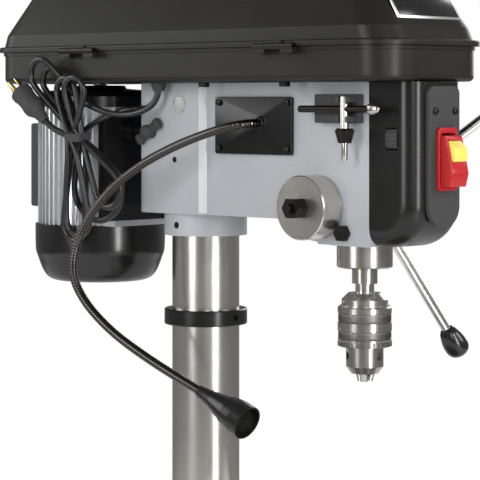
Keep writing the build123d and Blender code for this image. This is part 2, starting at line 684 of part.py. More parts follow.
ROD_APEX_X, ROD_TILT, ROD_L, ROD_R = 42.0, 30.0, 185.0, 5.0
ROD_ANGLES = (15.0, 135.0, 255.0)  # from straight down, towards the front

with BuildPart() as feed_hub:
    add(turned(plane_right(FRONT_HALF, PIN_AXIS_Y, PIN_AXIS_Z), [
        (10, 0.5), (24, 0.5), (25, 2), (25, 24), (21, 32), (0, 32), (0, 19.2), (10, 19.2)]).part)


def rod_plane(angle, along):
    """Plane across a feed rod at the distance along it, facing outwards."""
    turn, tilt = radians(angle), radians(ROD_TILT)
    out = Vector(sin(tilt), -cos(tilt) * sin(turn), -cos(tilt) * cos(turn))
    return Plane(origin=Vector(ROD_APEX_X, PIN_AXIS_Y, PIN_AXIS_Z) + out * along, z_dir=out)


with BuildPart() as rod_sockets:
    for angle in ROD_ANGLES:
        with BuildSketch(rod_plane(angle, 17)):
            Circle(ROD_R + 0.02)
        extrude(amount=40)
feed_hub.part = feed_hub.part - rod_sockets.part
save(feed_hub, "feed_hub")

with BuildPart() as feed_rods:
    for angle in ROD_ANGLES:
        with BuildSketch(rod_plane(angle, 17.1)):
            Circle(ROD_R)
        extrude(amount=ROD_L - 17.1 - 26)
save(feed_rods, "feed_rods")

KNOB_OUTLINE = [(0, -26), (7, -26), (9, -24), (12, -14), (13, -6), (12.4, 0), (9.5, 5), (5, 7.4), (0, 8)]
with BuildPart() as feed_knobs:
    for angle in ROD_ANGLES:
        add(turned(rod_plane(angle, ROD_L), KNOB_OUTLINE).part)
save(feed_knobs, "feed_knobs")

# ---------------------------------------------------------------- motor and belt tension
PLATE_FRONT_Y, PLATE_T = 85.0, 8.0
MOTOR_R = 71.0
BAR_X, BAR_Z = 28.0, 886.0

with BuildPart() as motor_plate:
    with BuildSketch(plane_front(PLATE_FRONT_Y + PLATE_T, 0, 847.5)):
        RectangleRounded(146, 121, 6)
    extrude(amount=PLATE_T)
    with BuildSketch(plane_front(PLATE_FRONT_Y, 0, BAR_Z)):
        with Locations((-BAR_X, 0), (BAR_X, 0)):
            Circle(13)
    extrude(amount=10)
    with BuildSketch(plane_front(PLATE_FRONT_Y, 0, BAR_Z)):
        with Locations((-BAR_X, 0), (BAR_X, 0)):
            Circle(8)
    extrude(amount=90)
save(motor_plate, "motor_plate")

FIN_COUNT = 56
with BuildPart() as motor_body:
    with BuildSketch(level(780, 0, MOTOR_Y)):
        Circle(MOTOR_R - 6)
        with PolarLocations(MOTOR_R - 5, FIN_COUNT):
            Rectangle(10, 2.6)
        with Locations((0, -MOTOR_R + 4)):
            Rectangle(96, 18)
        Circle(58, mode=Mode.SUBTRACT)
    extrude(amount=132)
save(motor_body, "motor_body")

motor_shield = turned(level(0, 0, MOTOR_Y), [
    (9, 912.3), (70, 912.3), (70, 924), (64, 930), (30, 933), (28, 936.5), (9, 936.5)])
save(motor_shield, "motor_shield")

with BuildPart() as motor_bell:
    with BuildSketch(Plane(origin=(0, MOTOR_Y, 0), x_dir=(1, 0, 0), z_dir=(0, -1, 0))):
        with BuildLine():
            Polyline((0, 715), (44, 715))
            Spline((44, 715), (62, 722), (71, 742), (74, 770), tangents=((1, 0), (0, 1)))
            Polyline((74, 770), (74, 779.7), (71.5, 779.7), (71.5, 770))
            Spline((71.5, 770), (68.6, 743), (60, 724.6), (44, 718), tangents=((0, -1), (-1, 0)))
            Polyline((44, 718), (0, 718), (0, 715))
        make_face()
    revolve(axis=Axis((0, MOTOR_Y, 0), (0, 0, 1)))
save(motor_bell, "motor_bell")

with BuildPart() as terminal_box:
    with BuildSketch(level(797, 0, MOTOR_Y + MOTOR_R + 4)) as box_plan:
        Rectangle(62, 28)
        fillet(box_plan.vertices(), 7)
    extrude(amount=96)
    fillet(terminal_box.faces().filter_by(Axis.Z).edges(), 3)
    with BuildSketch(level(797, 0, MOTOR_Y)):
        Circle(MOTOR_R + 0.2)
    extrude(amount=96, mode=Mode.SUBTRACT)
save(terminal_box, "terminal_box")

with BuildPart() as tension_lever:
    with BuildSketch(plane_right(-49.5, -8, 915)):
        Circle(8.25)
    extrude(amount=1.4)
    with BuildSketch(plane_right(-48.1, -8, 915)):
        Circle(6.45)
    extrude(amount=108)
    with BuildSketch(plane_right(50, -8, 915)):
        Circle(12)
    extrude(amount=16)
    with BuildSketch(plane_right(54, -8, 915)):
        with Locations((0, -38)):
            Rectangle(9, 62)
    extrude(amount=7)
    with BuildSketch(plane_right(54, -8, 915)):
        with Locations((0, -74)):
            Circle(11)
    extrude(amount=24)
save(tension_lever, "tension_lever")

with BuildPart() as slide_lock:
    with BuildSketch(plane_x(-36.3, 35, BAR_Z)):
        Circle(4)
    extrude(amount=14)
    with BuildSketch(plane_x(-48.6, 35, BAR_Z)):
        Circle(8)
    extrude(amount=13)
    with BuildSketch(plane_x(-50, 35, BAR_Z)):
        SlotCenterToCenter(24, 13)
    extrude(amount=10)
save(slide_lock, "slide_lock")

# ---------------------------------------------------------------- lamp, key holder and chuck key
with BuildPart() as lamp_plate:
    with BuildSketch(plane_x(-FRONT_HALF, -111.5, 893.5)):
        RectangleRounded(109, 60, 3)
    extrude(amount=3.5)
    with BuildSketch(plane_x(-FRONT_HALF - 3.5, -122, 896)):
        Circle(7)
    extrude(amount=4)
save(lamp_plate, "lamp_plate")

GOOSE_ROUTE = [(-48.8, -122, 896), (-66, -121, 896), (-78, -90, 889), (-87, -36, 871), (-99, 15, 845),
               (-114, 48, 812), (-121, 74, 773), (-127, 78, 735), (-127, 57, 705), (-125, 18, 677),
               (-121, -24, 656), (-116, -68, 637), (-112, -101, 624)]


def tube_path(points):
    """Straight runs joined by arcs as large as the runs allow; prints the radii."""
    radii = []
    for before, here, after in zip(points, points[1:], points[2:]):
        first, second = Vector(*here) - Vector(*before), Vector(*after) - Vector(*here)
        half_turn = radians(first.get_angle(second) / 2)
        radii.append(0.45 * min(first.length, second.length) / tan(half_turn))
    print("arc radii", [round(r) for r in radii], "run lengths",
          [round((Vector(*b) - Vector(*a)).length) for a, b in zip(points, points[1:])])
    return FilletPolyline(*points, radius=radii)


def tube(points, diameter):
    """A round tube along a route of points."""
    with BuildPart() as tube_part:
        with BuildLine() as path:
            tube_path(points)
        with BuildSketch(Plane(origin=path.line @ 0, z_dir=path.line % 0)):
            Circle(diameter / 2)
        sweep(path=path.line)
    length = sum(edge.length for edge in path.edges())
    print("tube length", round(length), "volume ratio",
          round(tube_part.part.volume / (length * pi * diameter ** 2 / 4), 4))
    return tube_part


gooseneck = tube(GOOSE_ROUTE, 8.0)
save(gooseneck, "gooseneck")

LAMP_AXIS = Vector(2, -64, -26).normalized()
LAMP_NECK = Vector(*GOOSE_ROUTE[-1])
lamp_shade = turned(Plane(origin=LAMP_NECK, z_dir=LAMP_AXIS), [
    (0, 0.8), (6.5, 0.8), (7.5, 10), (9, 20), (15.5, 44), (17.5, 56), (17.5, 70), (15.8, 70), (15.8, 56),
    (14, 45), (0, 42)])
save(lamp_shade, "lamp_shade")

KEY_X, KEY_Y, KEY_GEAR_TOP = -57.0, -248.0, 892.0
with BuildPart() as key_holder:
    with BuildSketch(plane_x(-FRONT_HALF, -230.5, 911.5)):
        RectangleRounded(57, 29, 2)
    extrude(amount=9)
    for ear_z in (898, 917.5):
        with BuildSketch(level(ear_z, -FRONT_HALF, KEY_Y)):
            with Locations((-14.5, 0)):
                Rectangle(13, 18)
        extrude(amount=6)
        with BuildSketch(level(ear_z, KEY_X, KEY_Y)):
            Circle(4.8)
            with Locations((-6, 0)):
                Rectangle(12, 9.6)
        extrude(amount=6, mode=Mode.SUBTRACT)
save(key_holder, "key_holder")

with BuildPart() as chuck_key:
    with BuildSketch(level(860, KEY_X, KEY_Y)):
        Circle(3.2)
    extrude(amount=20)
    with BuildSketch(level(878, KEY_X, KEY_Y)):
        Circle(4.6)
    extrude(amount=46)
    add(turned(level(0, KEY_X, KEY_Y), [
        (0, KEY_GEAR_TOP - 16), (6, KEY_GEAR_TOP - 16), (8, KEY_GEAR_TOP - 8), (8, KEY_GEAR_TOP),
        (0, KEY_GEAR_TOP)]).part)
    with BuildSketch(level(KEY_GEAR_TOP - 8, KEY_X, KEY_Y)):
        with PolarLocations(8.6, 10):
            Rectangle(4, 2.8)
    extrude(amount=8)
    with BuildSketch(plane_front(-176, KEY_X, 911)):
        Circle(3.6)
    extrude(amount=115)
save(chuck_key, "chuck_key")

with BuildPart() as small_screws:
    with BuildSketch(plane_x(-FRONT_HALF - 3.5, -111.5, 893.5)):
        with GridLocations(97, 48, 2, 2):
            Circle(3.4)
    extrude(amount=2)
    with BuildSketch(plane_front(HOUSING_FRONT_Y - 5, 0, 909)):
        with Locations((-15.5, 0), (15.5, 0)):
            Circle(3.4)
    extrude(amount=1.6)
    for screw_x, screw_z, screw_r, depth in HEAD_SCREWS:
        with BuildSketch(plane_right(screw_x, 0, screw_z)):
            Circle(screw_r)
        extrude(amount=depth)
save(small_screws, "small_screws")

# ---------------------------------------------------------------- table
TABLE_Y = SPINDLE_Y
CRANK_Y = RACK_FACE_Y - CRANK_MODULE + CRANK_TEETH * CRANK_MODULE / 2
CRANK_ARM_X = 54.0
with BuildPart() as table_bracket:
    with BuildSketch(level(BRACKET_LOW)):
        Circle(48)
        with Locations((0, 58)):
            Rectangle(36, 44)
    extrude(amount=BRACKET_HIGH - BRACKET_LOW)
    with BuildSketch(plane_front(-40, 0, TILT_Z)):
        Circle(28)
    extrude(amount=24)
    with BuildSketch(plane_x(-40, 0, TILT_Z)):
        Circle(12)
    extrude(amount=18)
    with BuildSketch(plane_right(14, CRANK_Y, CRANK_Z)):
        Circle(13)
    extrude(amount=CRANK_ARM_X - 16)
    with BuildSketch(level(BRACKET_LOW - 1)):
        Circle(COLUMN_R + FIT)
        with Locations((0, 41)):
            Rectangle(13, 10.4)
    extrude(amount=BRACKET_HIGH - BRACKET_LOW + 2, mode=Mode.SUBTRACT)
    with BuildSketch(plane_right(-10, CRANK_Y, CRANK_Z)):
        Circle(15.5)
    extrude(amount=20, mode=Mode.SUBTRACT)
    with BuildSketch(plane_right(-30, CRANK_Y, CRANK_Z)):
        Circle(6 + FIT)
    extrude(amount=90, mode=Mode.SUBTRACT)
    with BuildSketch(plane_x(-43, 0, TILT_Z)):
        Circle(4 + FIT)
    extrude(amount=20, mode=Mode.SUBTRACT)
save(table_bracket, "table_bracket")

with BuildPart() as table_crank:
    with BuildSketch(plane_right(-16, CRANK_Y, CRANK_Z)):
        Circle(6)
    extrude(amount=CRANK_ARM_X + 18)
    with BuildSketch(plane_right(-8, CRANK_Y, CRANK_Z)):
        with BuildLine():
            Polyline(*toothed(CRANK_TEETH, CRANK_MODULE, 180), close=True)
        make_face()
    extrude(amount=16)
    with BuildSketch(plane_right(CRANK_ARM_X, CRANK_Y, CRANK_Z)):
        Circle(11)
        with Locations((0, -40)):
            Rectangle(12, 80)
        with Locations((0, -80)):
            Circle(9)
    extrude(amount=9)
    add(turned(plane_right(CRANK_ARM_X + 9, CRANK_Y, CRANK_Z - 80), [
        (0, 0), (5, 0), (5, 6), (9, 10), (10, 30), (8.5, 52), (5, 58), (0, 59)]).part)
save(table_crank, "table_crank")

with BuildPart() as clamp_lever:
    with BuildSketch(plane_x(-44, 0, TILT_Z)):
        Circle(4)
    extrude(amount=16)
    with BuildSketch(plane_x(-58.3, 0, TILT_Z)):
        Circle(10)
    extrude(amount=12)
    add(turned(Plane(origin=(-64.3, 0, TILT_Z), z_dir=(-0.5, 0, -1)), [
        (0, 4), (4, 4), (4, 70), (9, 74), (10, 84), (6, 92), (0, 94)]).part)
save(clamp_lever, "clamp_lever")

with BuildPart() as table_arm:
    with BuildSketch(plane_front(-64.3, 0, TILT_Z)):
        Circle(28)
    extrude(amount=10)
    with BuildSketch(level(TILT_Z - 18, 0, (TABLE_Y - 70) / 2)):
        Rectangle(32, -TABLE_Y - 70)
    extrude(amount=32)
    with BuildSketch(level(TILT_Z - 20, 0, TABLE_Y)):
        Circle(27)
    extrude(amount=46)
    with BuildSketch(level(TILT_Z - 21, 0, TABLE_Y)):
        Circle(18 + FIT)
    extrude(amount=60, mode=Mode.SUBTRACT)
save(table_arm, "table_arm")

SLOT_MID, SLOT_L, SLOT_W = 95.0, 80.0, 14.0
with BuildPart() as table:
    with BuildSketch(level(TABLE_TOP - 14, 0, TABLE_Y)):
        Circle(TABLE_R)
    extrude(amount=14)
    with BuildSketch(level(TABLE_TOP - TABLE_T, 0, TABLE_Y)):
        Circle(TABLE_R)
        Circle(TABLE_R - 9, mode=Mode.SUBTRACT)
        Circle(32)
        with PolarLocations(84, 4, start_angle=45):
            Rectangle(118, 7)
    extrude(amount=TABLE_T - 14)
    with BuildSketch(level(TILT_Z - 14, 0, TABLE_Y)):
        Circle(18)
    extrude(amount=42)
    fillet(table.faces().sort_by(Axis.Z)[-1].outer_wire().edges(), 2)
    with BuildSketch(level(TILT_Z - 15, 0, TABLE_Y)):
        Circle(12)
        with PolarLocations(SLOT_MID, 4):
            SlotOverall(SLOT_L, SLOT_W)
    extrude(amount=80, mode=Mode.SUBTRACT)
save(table, "table")

# ---------------------------------------------------------------- mains cord, hank, plug and motor lead
GLAND = (-60.0, 12.0)
power_gland = turned(level(0, *GLAND), [
    (CORD_D / 2 + 0.02, 929.5), (6, 929.5), (8, 935), (8, TRAY_Z - 0.02), (CORD_D / 2 + 0.02, TRAY_Z - 0.02)])
save(power_gland, "power_gland")

CORD_ROUTE = [(-60, 12, 938.4), (-60, 12, 921), (-66, 28, 908), (-76, 52, 903), (-83, 80, 908),
              (-87, 106, 921), (-90, 128, 937)]
power_cord = tube(CORD_ROUTE, CORD_D)
save(power_cord, "power_cord")

HANK_LEAN = 5.0
HANK_CENTRE = (-94.0, 104.0, 887.0)
HANK_PLANE = Plane(origin=HANK_CENTRE, x_dir=(0, -1, 0),
                   z_dir=(-cos(radians(HANK_LEAN)), 0, -sin(radians(HANK_LEAN))))
HANK_T = 15.0
HANK_OUTLINE = [(-17, 0), (-34, 22), (-84, 62), (-88, 72), (-76, 80), (-60, 70), (-36, 40), (-28, 64),
                (-8, 70), (10, 58), (20, 26), (17, 4), (40, -18), (76, -40), (82, -62), (66, -92),
                (40, -106), (8, -104), (-18, -122), (-36, -118), (-44, -96), (-36, -60)]
with BuildPart() as cord_hank:
    with BuildSketch(HANK_PLANE.offset(-HANK_T / 2)):
        with BuildLine():
            Polyline(*HANK_OUTLINE, close=True)
        make_face()
    extrude(amount=HANK_T)
save(cord_hank, "cord_hank")

with BuildPart() as cord_tie:
    with BuildSketch(HANK_PLANE):
        Rectangle(44, 8)
    extrude(amount=HANK_T / 2 + 1.5, both=True)
cord_tie.part = cord_tie.part - cord_hank.part
save(cord_tie, "cord_tie")

PLUG_START, PLUG_DIR = Vector(-101.5, 148, 897), Vector(0, 60, 46).normalized()
PLUG_NECK, PLUG_BODY, PRONG_L = 18.0, 34.0, 18.0
with BuildPart() as plug:
    with BuildSketch(Plane(origin=PLUG_START, z_dir=PLUG_DIR)):
        Circle(6)
    with BuildSketch(Plane(origin=PLUG_START + PLUG_DIR * PLUG_NECK, z_dir=PLUG_DIR)):
        Circle(9)
    loft()
    with BuildSketch(Plane(origin=PLUG_START + PLUG_DIR * PLUG_NECK, z_dir=PLUG_DIR)):
        Circle(12)
    extrude(amount=PLUG_BODY)
    with BuildSketch(Plane(origin=PLUG_START + PLUG_DIR * (PLUG_NECK + PLUG_BODY), z_dir=PLUG_DIR)):
        with Locations((0, -6.3), (0, 6.3)):
            Rectangle(6.3, 1.6)
        with Locations((6, 0)):
            Circle(2.4)
    extrude(amount=PRONG_L)
save(plug, "plug")

LEAD_ROUTE = [(-48.1, 46, 911), (-59, 47, 911), (-68, 62, 908), (-77.5, 86, 899), (-78.5, 110, 887),
              (-74, 127, 877), (-67.5, 136, 871)]
motor_lead = tube(LEAD_ROUTE, 6.5)
save(motor_lead, "motor_lead")
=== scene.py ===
"""Bench drill press: finishes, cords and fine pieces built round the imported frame.

The frame is in metres, +Z up, with the operator in front at -Y. Classes hold one sub-assembly each,
and main() builds them in order.
"""

from __future__ import annotations

import json
import logging
import math
from dataclasses import dataclass
from enum import Enum

import bmesh
import bpy
from mathutils import Matrix, Vector

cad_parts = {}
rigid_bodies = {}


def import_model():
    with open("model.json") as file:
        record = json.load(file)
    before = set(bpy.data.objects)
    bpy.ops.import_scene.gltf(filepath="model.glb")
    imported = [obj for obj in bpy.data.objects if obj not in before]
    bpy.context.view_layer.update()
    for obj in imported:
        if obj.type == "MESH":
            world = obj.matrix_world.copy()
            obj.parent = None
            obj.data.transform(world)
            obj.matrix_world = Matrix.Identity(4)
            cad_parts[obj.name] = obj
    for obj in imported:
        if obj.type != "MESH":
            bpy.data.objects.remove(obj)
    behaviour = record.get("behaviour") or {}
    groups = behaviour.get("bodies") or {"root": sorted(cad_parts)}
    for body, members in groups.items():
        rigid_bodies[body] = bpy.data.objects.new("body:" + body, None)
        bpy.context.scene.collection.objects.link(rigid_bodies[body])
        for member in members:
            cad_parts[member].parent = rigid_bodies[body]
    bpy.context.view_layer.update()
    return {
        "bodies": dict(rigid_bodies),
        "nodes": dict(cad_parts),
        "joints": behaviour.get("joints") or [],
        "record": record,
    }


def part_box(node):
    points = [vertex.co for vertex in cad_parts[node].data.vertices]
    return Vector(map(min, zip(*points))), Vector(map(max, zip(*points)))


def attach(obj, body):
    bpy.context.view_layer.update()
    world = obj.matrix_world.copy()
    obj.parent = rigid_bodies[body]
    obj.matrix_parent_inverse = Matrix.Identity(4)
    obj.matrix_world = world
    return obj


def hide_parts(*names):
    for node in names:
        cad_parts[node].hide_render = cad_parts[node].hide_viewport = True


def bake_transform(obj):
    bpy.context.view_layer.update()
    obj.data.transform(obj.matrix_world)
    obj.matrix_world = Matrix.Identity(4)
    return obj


LOG = logging.getLogger("drill_press")
MM = 0.001

Number = float | int
Colour = tuple[float, float, float]


# ------------------------------------------------------------------------------------ shader maths
class Wire:
    """One output socket of a node tree, usable in arithmetic."""

    def __init__(self, tree: bpy.types.NodeTree, socket: bpy.types.NodeSocket) -> None:
        """Keep the tree and the socket.

        Args:
            tree: The node tree that new Math nodes go in.
            socket: The output socket that this value comes from.
        """
        self.tree = tree
        self.socket = socket

    def _math(self, operation: str, other: Wire | Number) -> Wire:
        """Add one Math node with this value on its left.

        Args:
            operation: The Math node's operation.
            other: Right operand.

        Returns:
            The node's output.
        """
        node = self.tree.nodes.new("ShaderNodeMath")
        node.operation = operation
        for slot, value in zip(node.inputs, (self, other)):
            if isinstance(value, Wire):
                self.tree.links.new(value.socket, slot)
            else:
                slot.default_value = value
        return Wire(self.tree, node.outputs[0])

    def __add__(self, other: Wire | Number) -> Wire:
        """Sum."""
        return self._math("ADD", other)

    def __mul__(self, other: Wire | Number) -> Wire:
        """Product."""
        return self._math("MULTIPLY", other)

    def __sub__(self, other: Wire | Number) -> Wire:
        """Difference."""
        return self._math("SUBTRACT", other)

    def __pow__(self, other: Number) -> Wire:
        """Power."""
        return self._math("POWER", other)

    def over(self, level: Number) -> Wire:
        """One where the value is above a level, else nought."""
        return self._math("GREATER_THAN", level)


class Shader:
    """A material under construction, with its Principled shader."""

    def __init__(self, name: str) -> None:
        """Start an empty node tree.

        Args:
            name: The material's name.
        """
        self.material = bpy.data.materials.new(name)
        self.material.use_nodes = True
        self.tree = self.material.node_tree
        self.tree.nodes.clear()
        self.bsdf = self.tree.nodes.new("ShaderNodeBsdfPrincipled")
        output = self.tree.nodes.new("ShaderNodeOutputMaterial")
        self.tree.links.new(self.bsdf.outputs[0], output.inputs["Surface"])

    def node(self, kind: str, settings: dict[str, object] | None = None, output: int | str = 0,
             **values: object) -> Wire:
        """Add any node.

        Args:
            kind: The node's type.
            settings: Attributes that are set before the sockets.
            output: Which output to hand back.
            values: Socket values or wires; an underscore stands for a space.

        Returns:
            The chosen output.
        """
        node = self.tree.nodes.new(kind)
        for key, value in (settings or {}).items():
            setattr(node, key, value)
        for key, value in values.items():
            self.feed(node.inputs[key.replace("_", " ")], value)
        return Wire(self.tree, node.outputs[output])

    def feed(self, socket: bpy.types.NodeSocket, value: object) -> None:
        """Link a wire to a socket or set the socket's own value.

        Args:
            socket: The input socket.
            value: A wire, number, colour or vector.
        """
        if isinstance(value, Wire):
            self.tree.links.new(value.socket, socket)
        else:
            socket.default_value = value

    def set(self, name: str, value: object) -> None:
        """Feed one socket of the Principled shader."""
        self.feed(self.bsdf.inputs[name], value)

    def place(self, scale: tuple[float, float, float] = (1, 1, 1)) -> Wire:
        """Object coordinates, stretched along each axis.

        Args:
            scale: Stretch along each axis.

        Returns:
            The mapped vector.
        """
        where = self.node("ShaderNodeTexCoord", output="Object")
        return self.node("ShaderNodeMapping", Vector=where, Scale=scale)

    def noise(self, scale: float, stretch: tuple[float, float, float] = (1, 1, 1), detail: float = 3.0,
              roughness: float = 0.5) -> Wire:
        """Noise on Object coordinates.

        Args:
            scale: Features per metre, roughly.
            stretch: Stretch of the coordinates, for streaks.
            detail: Number of octaves.
            roughness: Weight of the fine octaves.

        Returns:
            The noise value.
        """
        return self.node("ShaderNodeTexNoise", Vector=self.place(stretch), Scale=scale, Detail=detail,
                         Roughness=roughness)

    def blend(self, mask: Wire | Number, low: Colour | Wire, high: Colour | Wire) -> Wire:
        """Mix two colours by a mask.

        Args:
            mask: Nought for low, one for high.
            low: First colour.
            high: Second colour.

        Returns:
            The mixed colour.
        """
        node = self.tree.nodes.new("ShaderNodeMix")
        node.data_type = "RGBA"
        for index, value in ((0, mask), (6, low), (7, high)):
            if isinstance(value, tuple):
                value = (*value, 1.0)
            self.feed(node.inputs[index], value)
        return Wire(self.tree, node.outputs[2])

    def bump(self, height: Wire, depth: float, strength: float = 1.0) -> None:
        """Feed the shader's normal from a height.

        Args:
            height: The height field.
            depth: Real height of one unit, in metres.
            strength: How much of the bump shows.
        """
        self.set("Normal", self.node("ShaderNodeBump", Height=height, Distance=depth, Strength=strength))


class Grain(Enum):
    """Direction in which a metal is finished."""

    ROUND = (1.0, 1.0, 30.0)
    ALONG_X = (0.02, 1.0, 1.0)
    UPRIGHT = (1.0, 1.0, 0.02)
    NONE = (1.0, 1.0, 1.0)


@dataclass(frozen=True)
class Paint:
    """Sprayed paint with a fine orange peel and, if asked, a metallic sparkle painted as white glint specks
    in the colour.
    """

    name: str
    colour: Colour
    roughness: float = 0.4
    peel: float = 0.00004
    peel_scale: float = 900.0
    sparkle: float = 0.0
    coat: float = 0.0
    shine: float = 0.5

    def make(self) -> bpy.types.Material:
        """Build the material.

        Returns:
            The finished material.
        """
        shader = Shader(self.name)
        cloud = shader.noise(14.0, detail=4.0)
        dust = shader.noise(2600.0, detail=2.0)
        dark = tuple(c * 0.86 for c in self.colour)
        light = tuple(min(1.0, c * 1.10 + 0.004) for c in self.colour)
        base = shader.blend(cloud, dark, light)
        # Painted glints: white specks blended into the colour stand in for light catching the metal flakes.
        if self.sparkle:
            painted_glint_specks = dust.over(0.66) * self.sparkle
            base = shader.blend(painted_glint_specks, base, (0.95, 0.95, 0.95))
        shader.set("Base Color", base)
        shader.set("Roughness", cloud * 0.12 + (self.roughness - 0.06) + dust * 0.08)
        shader.set("Specular IOR Level", self.shine)
        shader.set("Coat Weight", self.coat)
        shader.set("Coat Roughness", 0.18)
        shader.bump(shader.noise(self.peel_scale, detail=3.0), self.peel)
        return shader.material


@dataclass(frozen=True)
class Metal:
    """Bare metal with the streaks of its finishing."""

    name: str
    colour: Colour
    roughness: float = 0.3
    grain: Grain = Grain.NONE
    streaks: float = 120.0
    contrast: float = 0.25
    depth: float = 0.00002
    spread: float = 0.16

    def make(self) -> bpy.types.Material:
        """Build the material.

        Returns:
            The finished material.
        """
        shader = Shader(self.name)
        fine = shader.noise(self.streaks, self.grain.value, detail=5.0, roughness=0.65)
        stain = shader.noise(22.0, detail=3.0)
        dark = tuple(c * (1 - self.contrast) for c in self.colour)
        shader.set("Base Color", shader.blend(fine * 0.7 + stain * 0.3, dark, self.colour))
        shader.set("Metallic", 1.0)
        shader.set("Roughness", fine * self.spread + stain * 0.06 + (self.roughness - self.spread / 2 - 0.03))
        shader.bump(fine, self.depth)
        return shader.material


@dataclass(frozen=True)
class Faced:
    """Metal turned on a lathe, with rings of tool marks about an axis."""

    name: str
    colour: Colour
    centre: tuple[float, float, float]
    upright: bool = True
    roughness: float = 0.28
    pitch: float = 2200.0
    contrast: float = 0.18
    depth: float = 0.00001

    def make(self) -> bpy.types.Material:
        """Build the material.

        Returns:
            The finished material.
        """
        shader = Shader(self.name)
        where = shader.node("ShaderNodeTexCoord", output="Object")
        moved = shader.node("ShaderNodeVectorMath", {"operation": "SUBTRACT"})
        node = moved.socket.node
        shader.feed(node.inputs[0], where)
        shader.feed(node.inputs[1], self.centre)
        parts = shader.node("ShaderNodeSeparateXYZ", Vector=moved).socket.node.outputs
        x, y, z = (Wire(shader.tree, output) for output in parts)
        first, second = (x, y) if self.upright else (y, z)
        radius = (first * first + second * second) ** 0.5
        rings = shader.node("ShaderNodeTexNoise", {"noise_dimensions": "1D"}, W=radius, Scale=self.pitch,
                            Detail=4.0, Roughness=0.7)
        stain = shader.noise(26.0, detail=3.0)
        dark = tuple(c * (1 - self.contrast) for c in self.colour)
        shader.set("Base Color", shader.blend(rings * 0.7 + stain * 0.3, dark, self.colour))
        shader.set("Metallic", 1.0)
        shader.set("Roughness", rings * 0.18 + stain * 0.08 + (self.roughness - 0.12))
        shader.bump(rings, self.depth)
        return shader.material


@dataclass(frozen=True)
class Moulded:
    """Moulded plastic or rubber with a fine grained skin."""

    name: str
    colour: Colour
    roughness: float = 0.45
    skin: float = 0.00003
    skin_scale: float = 1800.0
    coat: float = 0.0
    shine: float = 0.3

    def make(self) -> bpy.types.Material:
        """Build the material.

        Returns:
            The finished material.
        """
        shader = Shader(self.name)
        skin = shader.noise(self.skin_scale, detail=2.0)
        wear = shader.noise(35.0, detail=4.0)
        light = tuple(min(1.0, c * 1.25 + 0.006) for c in self.colour)
        shader.set("Base Color", shader.blend(wear, self.colour, light))
        shader.set("Roughness", wear * 0.14 + skin * 0.06 + (self.roughness - 0.1))
        shader.set("Coat Weight", self.coat)
        shader.set("Specular IOR Level", self.shine)
        shader.bump(skin, self.skin)
        return shader.material


@dataclass(frozen=True)
class Glow:
    """A frosted lamp lens that is switched off."""

    name: str = "lens"

    def make(self) -> bpy.types.Material:
        """Build the material.

        Returns:
            The finished material.
        """
        shader = Shader(self.name)
        frost = shader.noise(600.0)
        shader.set("Base Color", shader.blend(frost, (0.72, 0.72, 0.68), (0.9, 0.9, 0.86)))
        shader.set("Roughness", frost * 0.2 + 0.15)
        return shader.material


